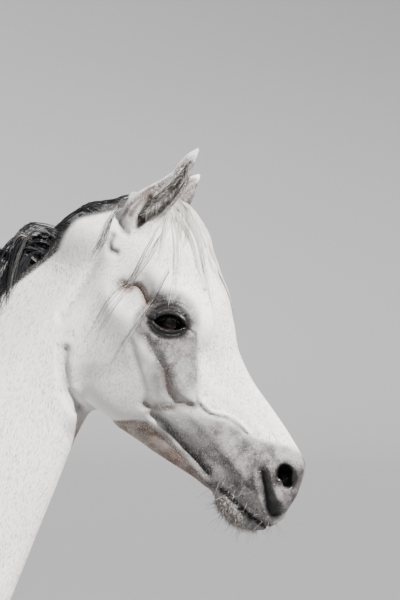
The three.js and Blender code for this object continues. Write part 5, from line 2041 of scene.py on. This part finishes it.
def hair_piece(name, slot, part, guides, normals, tones, lock, rng, *nodes):
    """Strands round guide paths, as one piece. The lock is the number of strands round each path,
    how far they spread, how much they draw together and how wide they are."""
    per_lock, spread, gather, width = lock
    paths, flats = lock_strands(guides, normals, per_lock, spread, gather, rng)
    count, sections = paths.shape[:2]
    widths = taper(sections, width * rng.uniform(0.6, 1.3, count))
    tones = np.clip(np.repeat(tones, per_lock) + rng.normal(0, 0.07, count), 0, 1)
    places = chart(part, *paths[:, 0].T)
    piece = strand_piece(name, paths, widths, widths * 0.55, flats, places, tones, hair_finish())
    own(piece, slot, *nodes)


class BuildMane(bpy.types.Operator):
    """Makes the mane, combed over the crest to the left, and its one big lock on the right"""

    bl_idname = "horse.build_mane"
    bl_label = "Build mane"

    def execute(self, context):
        size = sizes()
        self.far_side(size)
        self.near_lock(size)
        return {"FINISHED"}

    def far_side(self, size):
        """Hair that lies over the crest and falls on the left."""
        rng = draws(20)
        count, sections = size.mane_locks, 10
        along = np.sort(rng.uniform(-10, 812, count))
        roots = crest_roots(along, rng.uniform(-27, 14, count))
        high = smooth_step(along, 660, 780)
        length = size.mane_hair / MM * (1 - 0.4 * high) * (0.45 + 0.55 * smooth_step(along, -10, 160))
        length = length * rng.uniform(0.75, 1.15, count)
        way = together(-0.55, rng.uniform(0.5, 0.9, count), 0.35)
        bend = wander(rng, count, sections, 0.03, -0.03)
        lift = np.array([0, 3, 5] + [6] * (sections - 3)) * rng.uniform(0.7, 1.5, count)[:, None]
        guides, normals = comb(roots, unit(way), length, sections, lift, 0.34, bend, 5.0)
        tones = np.where(rng.random(count) < 0.14, rng.uniform(0.25, 0.6, count), 0.05)
        lock = (14, 5.5, 0.4, 1.2)
        hair_piece("mane_hair", "dark_hair", "neck", guides, normals, tones, lock, rng, "mane")

    def near_lock(self, size):
        """The lock that stands up from the crest and falls down the right side."""
        rng = draws(22)
        count, sections = size.near_locks, 11
        big = rng.random(count) < 0.62
        along = np.where(big, rng.uniform(500, 640, count), rng.uniform(20, 500, count))
        roots = crest_roots(along, rng.uniform(-24, -4, count))
        length = size.mane_hair / MM * np.where(big, 0.7, 0.42) * rng.uniform(0.7, 1.1, count)
        outward = -rng.uniform(0.2, 0.5, count)
        way = together(np.where(big, -1.1, -0.75), outward, np.where(big, 0.9, 0.45))
        bend = wander(rng, count, sections, 0.03, -0.09)
        tall = np.where(big, rng.uniform(8, 24, count), rng.uniform(3, 12, count))
        lift = np.array([0, 0.9, 1.5, 1.5, 1.4, 1.2, 1.0, 0.8, 0.6, 0.5, 0.4]) * tall[:, None]
        guides, normals = comb(roots, unit(way), length, sections, lift, 0.3, bend, 6.0)
        paler = rng.random(count) < 0.2
        tones = np.where(paler, rng.uniform(0.28, 0.52, count), rng.uniform(0, 0.14, count))
        hair_piece("mane_lock", "dark_hair", "neck", guides, normals, tones, (12, 8.0, 0.2, 1.3), rng)


# Loose strands over the right cheek: number of hairs, spread, share of dark hairs, and places along the
# face and up from it. They lie behind the ear, and in three lines from the forelock to the jaw.
CHEEK_STRANDS = (
    (26, 3.0, 0.6, ((-4, -42), (6, -60), (32, -87), (49, -123))),
    (7, 2.2, 0.15,
     ((54, 8), (84, -40), (110, -81), (109, -110), (131, -148), (150, -187), (164, -210))),
    (7, 2.0, 0.3,
     ((72, 2), (98, -39), (109, -72), (127, -111), (149, -157), (176, -199), (184, -213))),
    (6, 1.8, 0.5,
     ((120, -12), (150, -56), (159, -76), (175, -107), (192, -149), (212, -187), (225, -214))),
)


class BuildForelock(bpy.types.Operator):
    """Makes the forelock and the loose strands that cross the right cheek"""

    bl_idname = "horse.build_forelock"
    bl_label = "Build forelock"

    def execute(self, context):
        size = sizes()
        rng = draws(21)
        count, sections = 46, 13
        along, out = rng.uniform(-6, 40, count), rng.normal(-2, 15, count)
        roots = seat(from_head(along, look_up(HEAD_TABLE, along)[0] + 2, out))
        near = rng.random(count) < 0.36
        sideways = np.where(near, -rng.uniform(0.3, 0.9, count), rng.normal(0.14, 0.22, count))
        way = turn_head(rng.uniform(0.7, 1.0, count), 0.1, sideways)
        length = size.forelock_hair / MM * rng.uniform(0.45, 1.1, count) * np.where(near, 0.58, 1.0)
        bend = wander(rng, count, sections, 0.025, np.where(near, -0.1, 0.0))
        lift = np.linspace(1.6, 1.0, sections)[None] * rng.uniform(0.5, 1.8, count)[:, None]
        lift[:, 0] = 0
        guides, normals = comb(roots, unit(way), length, sections, lift, 0.24, bend, 8.0)
        tones = np.where(rng.random(count) < 0.86, rng.uniform(0.88, 1.0, count), 0.4)
        lock = (10, 5.0, 0.2, 0.75)
        hair_piece(
            "forelock_hair", "pale_hair", "head_right", guides, normals, tones, lock, rng, "forelock"
        )
        self.cheek_strands()
        return {"FINISHED"}

    def cheek_strands(self):
        """Single hairs that cross the right cheek."""
        rng = draws(23)
        sections = 15
        paths, tones = [], []
        for count, spread, dark, places in CHEEK_STRANDS:
            along, up = np.array(places, float).T
            reach = np.concatenate([[0], np.cumsum(np.hypot(np.diff(along), np.diff(up)))])
            for _ in range(count):
                first, last = rng.uniform(0, 0.12), rng.uniform(0.75, 1.0)
                at = np.linspace(first, last, sections) * reach[-1]
                drift = np.cumsum(rng.normal(0, 0.35, (2, sections)), 1) + rng.normal(0, spread, (2, 1))
                drift = drift * (1 + 0.8 * at / reach[-1])
                skin = on_cheek(np.interp(at, reach, along) + drift[0], np.interp(at, reach, up) + drift[1])
                normal = sense(skin)[1]
                paths.append(skin + normal * rng.uniform(0.8, 2.2))
                tones.append(rng.uniform(0.1, 0.35) if rng.random() < dark else rng.uniform(0.7, 0.9))
        paths = np.array(paths)
        normals = sense(paths.reshape(-1, 3))[1].reshape(paths.shape)
        widths = taper(sections, rng.uniform(0.5, 0.85, len(paths)))
        places = chart("head_right", *paths[:, 0].T)
        piece = strand_piece(
            "cheek_strands", paths, widths, widths * 0.6, normals, places, np.array(tones), hair_finish()
        )
        own(piece, "dark_hair")


class BuildTail(bpy.types.Operator):
    """Makes the hair of the tail round its dock"""

    bl_idname = "horse.build_tail"
    bl_label = "Build tail"

    def execute(self, context):
        size = sizes()
        rng = draws(30)
        count, sections = size.tail_locks, 15
        start = rng.uniform(8, 300, count)
        stop = rng.uniform(820, 1178, count)
        share = np.linspace(0, 1, sections)
        place = start[:, None] + (stop - start)[:, None] * share
        place = place.ravel()
        x, z, depth, width = look_up(TAIL_TABLE, place)
        before, after = look_up(TAIL_TABLE, place - 5), look_up(TAIL_TABLE, place + 5)
        way = unit(together(after[0] - before[0], 0, after[1] - before[1]))
        back = together(way[:, 2], 0, -way[:, 0])
        angle = np.repeat(rng.uniform(0, 2 * math.pi, count), sections)
        layer = np.repeat(rng.uniform(0.35, 1, count) ** 0.5, sections)
        swing = np.sin(place / 130 + np.repeat(rng.uniform(0, 6, count), sections)) * 0.14
        fill = layer * np.clip(0.55 + place / 420, 0.6, 0.93)
        angle = angle + swing
        offset = back * (depth * np.cos(angle) * fill)[:, None]
        offset[:, 1] += width * np.sin(angle) * fill
        guides = (together(x + WITHERS_X, 0, z) + offset).reshape(count, sections, 3)
        normals = unit(offset).reshape(count, sections, 3)
        pale = rng.random(count) < 0.5
        tones = np.where(pale, rng.uniform(0.4, 0.95, count), rng.uniform(0.02, 0.2, count))
        lock = (15, 9.0, 0.25, 2.6)
        hair_piece("tail_hair", "dark_hair", "dock", guides, normals, tones, lock, rng, "tail")
        return {"FINISHED"}


def eye_point(u, v, out):
    """World point of a place by the eye."""
    along = EYE_MIDDLE[0] + u * EYE_DIP[0] - v * EYE_DIP[1]
    up = EYE_MIDDLE[1] + u * EYE_DIP[1] + v * EYE_DIP[0]
    return from_head(along, up, out)


def fine_strands(name, part, roots, ways, lengths, width, tones, droop, rng, sections=4):
    """Short separate hairs that start along a direction and curve down."""
    share = np.linspace(0, 1, sections)[None, :, None]
    paths = roots[:, None] + ways[:, None] * lengths[:, None, None] * share
    paths = paths + np.array([0, 0, -1.0]) * (lengths * droop)[:, None, None] * share**2
    count = len(roots)
    widths = taper(sections, width * rng.uniform(0.8, 1.2, count), 0.2, 0.9)
    side = unit(np.cross(ways, np.array([0.3, 0.2, 0.93])))
    places = chart(part, *roots.T)
    piece = strand_piece(name, paths, widths, widths * 0.6, side, places, tones, hair_finish())
    own(piece, "dark_hair" if name.startswith("lashes") else "pale_hair")


class BuildFineHair(bpy.types.Operator):
    """Makes lashes, ear fringes, the hair over hooves and fetlocks, and the chin's stubble"""

    bl_idname = "horse.build_fine_hair"
    bl_label = "Build fine hair"

    def execute(self, context):
        points, triangles = skin_surface()
        for name, side in SIDES.items():
            self.lashes(name, side)
            self.ear_fringe(name, side)
        self.low_hair(points, triangles)
        self.stubble(points, triangles)
        return {"FINISHED"}

    def lashes(self, name, side):
        """Lashes of both lids of one eye."""
        rng = draws(40 if side < 0 else 41)
        count = 90
        u = rng.uniform(-17, 22, count)
        upper, lower = lid_curves(u)
        top = rng.random(count) < 0.78
        v = np.where(top, upper + 0.9, lower - 0.6)
        reach = np.sqrt(np.maximum(EYE_RADIUS**2 - u**2 - (v * 0.9) ** 2, 30))
        roots = eye_point(u, v, (EYE_CENTRE[2] + reach + 1.0) * side)
        lean = rng.normal(0, 0.16, count) + u / 60
        drop = np.where(top, -0.35, -0.5) + rng.normal(0, 0.12, count)
        origin = eye_point(0 * u, 0 * u, (EYE_CENTRE[2] + 20) * side)
        tips = eye_point(lean, drop, (EYE_CENTRE[2] + 20 + 0.9) * side)
        ways = unit(tips - origin)
        lengths = np.where(top, rng.uniform(11, 19, count), rng.uniform(5, 9, count))
        tones = np.full(count, 0.05)
        fine_strands(
            f"lashes_{name}", f"head_{name}", roots, ways, lengths, 0.75, tones, 0.35, rng, sections=6
        )

    def ear_fringe(self, name, side):
        """Hair along both edges of the opening of one ear."""
        rng = draws(42 if side < 0 else 43)
        count = 1300
        length = rng.uniform(-10, 108, count)
        front, back, deep = look_up(HOLLOW_TABLE, length)
        half = look_up(EAR_TABLE, length)[2]
        turn = rng.uniform(-0.9, 0.9, count) + np.where(rng.random(count) < 0.6, 0, math.pi)
        across = (front + back) / 2 + (front - back) / 2 * np.cos(turn) * 0.97
        depth = half * 1.05 + deep * np.sin(turn) * 0.4 - deep * 0.28
        roots = from_head(*from_ear(side, length, across, depth))
        inward = -np.cos(turn) * 0.55
        ahead = from_head(*from_ear(side, length + 1.0, across + inward, depth + 0.35))
        ways = unit(ahead - roots + rng.normal(0, 0.16, (count, 3)))
        lengths = rng.uniform(8, 21, count) * (1 - 0.4 * length / 108)
        tones = np.clip(rng.normal(0.46, 0.3, count), 0.05, 1)
        fine_strands(f"ear_fringe_{name}", f"head_{name}", roots, ways, lengths, 0.9, tones, 0.06, rng)

    def low_hair(self, points, triangles):
        """Hair over the coronets and behind the fetlocks."""
        rng = draws(44)
        middle = points[triangles].mean(1)
        _, slope, _ = sense(middle)
        fetlock = (np.abs(middle[:, 2] - 196) < 26) & (slope[:, 0] < -0.55)
        coronet = (middle[:, 2] > 50) & (middle[:, 2] < 98)
        for name, chosen, count, least, longest, droop in (
            ("coronet_hair", coronet, 2600, 12, 20, 0.15),
            ("fetlock_hair", fetlock, 1300, 16, 34, 0.225),
        ):
            roots = scatter(points, triangles[chosen], count, rng)
            _, normal, _ = sense(roots)
            way = tangent(np.array([-0.25, 0, -1.0]) + rng.normal(0, 0.12, (count, 3)), normal)
            way = unit(way + normal * 0.16)
            tones = np.clip(rng.normal(0.78, 0.16, count), 0, 1)
            lengths = rng.uniform(least, longest, count)
            fine_strands(name, "legs", roots, way, lengths, 1.9, tones, droop, rng)

    def stubble(self, points, triangles):
        """Stiff short hair of the chin and lips."""
        rng = draws(45)
        along, up, _ = to_head(*points[triangles].mean(1).T)
        chosen = (along > 478) & (along < 556) & (up < -128) & (up > -300)
        roots = scatter(points, triangles[chosen], 1400, rng)
        _, normal, _ = sense(roots)
        way = unit(normal + 0.7 * lie_of_coat(*roots.T) + rng.normal(0, 0.25, (len(roots), 3)))
        tones = np.clip(rng.normal(0.72, 0.25, len(roots)), 0, 1)
        lengths = rng.uniform(3, 10, len(roots))
        fine_strands("chin_stubble", "head_right", roots, way, lengths, 0.5, tones, 0.12, rng)


WHISKER_DENSITY = 11000.0  # on a square metre


class BuildWhiskers(bpy.types.Operator):
    """Scatters long whiskers over the muzzle and under the eyes"""

    bl_idname = "horse.build_whiskers"
    bl_label = "Build whiskers"

    def execute(self, context):
        points, triangles = skin_surface()
        along, up, out = to_head(*points[triangles].mean(1).T)
        side = np.abs(out)
        u, v = eye_place(along, up)
        lips = (along > 455) & (up < -95) & (up > -300)
        under_eye = (np.abs(u) < 20) & (np.abs(v + 25) < 7) & (side > 60)
        faces = triangles[lips | under_eye]
        used, faces = np.unique(faces, return_inverse=True)
        finish = hair_finish()
        ground = make_mesh("whiskers", points[used], faces.reshape(-1, 3), finish)
        set_number(ground, "tone", np.full(len(used), 0.5))
        hair = self.whisker(finish)
        tree = self.tree()
        scatterer = ground.modifiers.new("whiskers", "NODES")
        scatterer.node_group = tree
        socket = {item.name: item.identifier for item in tree.interface.items_tree}
        scatterer[socket["Hair"]] = hair
        scatterer[socket["Density"]] = WHISKER_DENSITY
        scatterer[socket["Seed"]] = sizes().seed
        scatterer[socket["Finish"]] = finish
        graph = context.evaluated_depsgraph_get()
        made = bpy.data.meshes.new_from_object(ground.evaluated_get(graph))
        ground.modifiers.remove(scatterer)
        ground.data = made
        bpy.data.objects.remove(hair)
        if not made.polygons:
            raise RuntimeError("no whiskers were made")
        root = np.empty(len(made.vertices) * 3, np.float32)
        made.attributes["root"].data.foreach_get("vector", root)
        root = root.reshape(-1, 3) / MM
        base = np.array([v.co for v in made.vertices]) / MM
        offset = np.clip((base - root) / 40, -0.5, 0.5) * PATCH
        set_map(ground, chart("head_right", *root.T) + offset[:, [0, 2]])
        own(ground, "dark_hair")
        return {"FINISHED"}

    def whisker(self, finish):
        """One whisker of full length along Z, slightly bent."""
        length = sizes().whisker / MM
        sections, thickness, most_bend = 6, 0.62, 5
        height = np.linspace(0, length, sections)
        path = together(most_bend * (height / length) ** 2, 0, height)[None]
        width = taper(sections, np.array([thickness]), 0.1, 1.0)
        points, faces, _ = sliver_arrays(path, width, width * 0.8, np.array([[0, 1.0, 0]]))
        return make_mesh("whisker", points, faces, finish)

    def tree(self):
        """Node tree that sets a hair on random places of a surface."""
        tree = bpy.data.node_groups.new("scatter_whiskers", "GeometryNodeTree")
        face = tree.interface
        face.new_socket("Geometry", in_out="OUTPUT", socket_type="NodeSocketGeometry")
        kinds = {
            "Ground": "Geometry", "Hair": "Object", "Density": "Float", "Seed": "Int", "Finish": "Material"
        }
        for name, kind in kinds.items():
            face.new_socket(name, in_out="INPUT", socket_type="NodeSocket" + kind)
        nodes, links = tree.nodes, tree.links
        start, end = nodes.new("NodeGroupInput"), nodes.new("NodeGroupOutput")

        def node(kind, settings=(), **inputs):
            made = nodes.new(kind)
            for key, value in settings:
                setattr(made, key, value)
            for key, value in inputs.items():
                socket = made.inputs[key.replace("_", " ")]
                if isinstance(value, bpy.types.NodeSocket):
                    links.new(value, socket)
                else:
                    socket.default_value = value
            return made

        given = start.outputs
        places = node(
            "GeometryNodeDistributePointsOnFaces",
            Mesh=given["Ground"], Density=given["Density"], Seed=given["Seed"],
        )
        position = node("GeometryNodeInputPosition")
        rooted = node(
            "GeometryNodeStoreNamedAttribute", (("data_type", "FLOAT_VECTOR"), ("domain", "POINT")),
            Geometry=places.outputs["Points"], Name="root", Value=position.outputs[0],
        )
        size = node("FunctionNodeRandomValue", (("data_type", "FLOAT"),), Seed=given["Seed"])
        size.inputs[2].default_value, size.inputs[3].default_value = 0.3, 1.0
        lean = node("FunctionNodeRandomValue", (("data_type", "FLOAT_VECTOR"),), Seed=given["Seed"])
        lean.inputs[0].default_value = (-0.5, -0.5, 0.0)
        lean.inputs[1].default_value = (0.5, 0.5, 6.28)
        turned = node(
            "FunctionNodeRotateRotation", (("rotation_space", "LOCAL"),),
            Rotation=places.outputs["Rotation"], Rotate_By=lean.outputs[0],
        )
        hair = node("GeometryNodeObjectInfo", Object=given["Hair"])
        spread = node(
            "GeometryNodeInstanceOnPoints", Points=rooted.outputs[0], Instance=hair.outputs["Geometry"],
            Rotation=turned.outputs[0], Scale=size.outputs[1],
        )
        solid = node("GeometryNodeRealizeInstances", Geometry=spread.outputs[0])
        coloured = node("GeometryNodeSetMaterial", Geometry=solid.outputs[0], Material=given["Finish"])
        links.new(coloured.outputs[0], end.inputs[0])
        return tree


# ---------------------------------------------------------------- stage, panel and main

AIM = (0.9208, 1.7373)  # the middle of the view, forward and up, in metres


class BuildStage(bpy.types.Operator):
    """Makes the floor, the lights and the camera"""

    bl_idname = "horse.build_stage"
    bl_label = "Build stage"

    def execute(self, context):
        studio = context.scene.horse_studio
        self.floor(studio)
        self.light("key", 14.0, (-0.60, 0.50, -0.63), 0.06, (1.0, 0.985, 0.96))
        self.light("fill", 1.1, (0.45, 0.85, -0.25), 1.2, (0.93, 0.96, 1.0))
        self.light("rim", 1.2, (0.25, -0.9, -0.6), 0.6, (1.0, 1.0, 1.0))
        world = bpy.data.worlds.new("studio")
        world.use_nodes = True
        background = world.node_tree.nodes["Background"]
        background.inputs["Color"].default_value = (0.62, 0.64, 0.67, 1)
        background.inputs["Strength"].default_value = 0.95
        context.scene.world = world
        camera = bpy.data.cameras.new("camera")
        camera.lens = camera.sensor_width * studio.distance / studio.view_height
        camera.clip_end = 200
        viewer = bpy.data.objects.new("camera", camera)
        viewer.location = (AIM[0], -studio.distance, AIM[1])
        viewer.rotation_euler = (math.radians(90), 0, 0)
        context.collection.objects.link(viewer)
        context.scene.camera = viewer
        return {"FINISHED"}

    def floor(self, studio):
        """A round floor whose edge curves up far from the horse."""
        rings = np.concatenate([[0.02], np.linspace(1, studio.floor_radius, 12)])
        flat = [(r, -0.0005) for r in rings]
        bend = np.linspace(0, math.pi / 2, 12)[1:]
        curve, top = 6, 16
        rise = [(studio.floor_radius + curve * math.sin(a), curve * (1 - math.cos(a))) for a in bend]
        profile = np.array(flat + rise + [(studio.floor_radius + curve, top)])
        columns = 96
        turn = np.linspace(0, 2 * math.pi, columns + 1)[:-1]
        points = together(profile[:, :1] * np.cos(turn), profile[:, :1] * np.sin(turn), profile[:, 1:])
        grid, after = ring_grid(len(profile), columns)
        quads = quads_of(grid[:-1], grid[1:], after[1:], after[:-1])
        finish = plain_material("floor", studio.floor, 0.85)
        piece = make_mesh("floor", points.reshape(-1, 3) / MM, quads, finish)

    def light(self, name, energy, way, spread, colour):
        """A sun that shines along a direction."""
        lamp = bpy.data.lights.new(name, "SUN")
        lamp.energy, lamp.color, lamp.angle = energy, colour, spread
        holder = bpy.data.objects.new(name, lamp)
        holder.rotation_euler = Vector(way).to_track_quat("-Z", "Y").to_euler()
        bpy.context.collection.objects.link(holder)


class HorsePanel(bpy.types.Panel):
    """Lists the horse's sizes, colours and steps"""

    bl_idname = "HORSE_PT_panel"
    bl_label = "Grey Arabian horse"
    bl_space_type = "VIEW_3D"
    bl_region_type = "UI"
    bl_category = "Horse"

    def draw(self, context):
        scene = context.scene
        for group in (scene.horse_sizes, scene.horse_looks, scene.horse_studio):
            box = self.layout.box()
            for key in group.bl_rna.properties.keys():
                if key not in ("rna_type", "name"):
                    box.prop(group, key)
        for step in STEPS_IN_ORDER:
            self.layout.operator(step.bl_idname)


STEPS_IN_ORDER = (
    BuildStage, BuildSkin, BuildEyes, BuildHooves, BuildCoat, BuildMane, BuildForelock, BuildTail,
    BuildFineHair, BuildWhiskers,
)
CLASSES = (HorseLooks, HorseSizes, HorseStudio, *STEPS_IN_ORDER, HorsePanel)


def register():
    """Makes the settings, steps and panel known."""
    for item in CLASSES:
        bpy.utils.register_class(item)
    bpy.types.Scene.horse_looks = bpy.props.PointerProperty(type=HorseLooks)
    bpy.types.Scene.horse_sizes = bpy.props.PointerProperty(type=HorseSizes)
    bpy.types.Scene.horse_studio = bpy.props.PointerProperty(type=HorseStudio)


def unregister():
    """Takes the settings, steps and panel away again."""
    for name in ("horse_looks", "horse_sizes", "horse_studio"):
        delattr(bpy.types.Scene, name)
    for item in reversed(CLASSES):
        bpy.utils.unregister_class(item)


def main():
    """Builds the horse and its stage."""
    register()
    for step in STEPS_IN_ORDER:
        group, name = step.bl_idname.split(".")
        getattr(getattr(bpy.ops, group), name)()


if __name__ == "__main__":
    main()
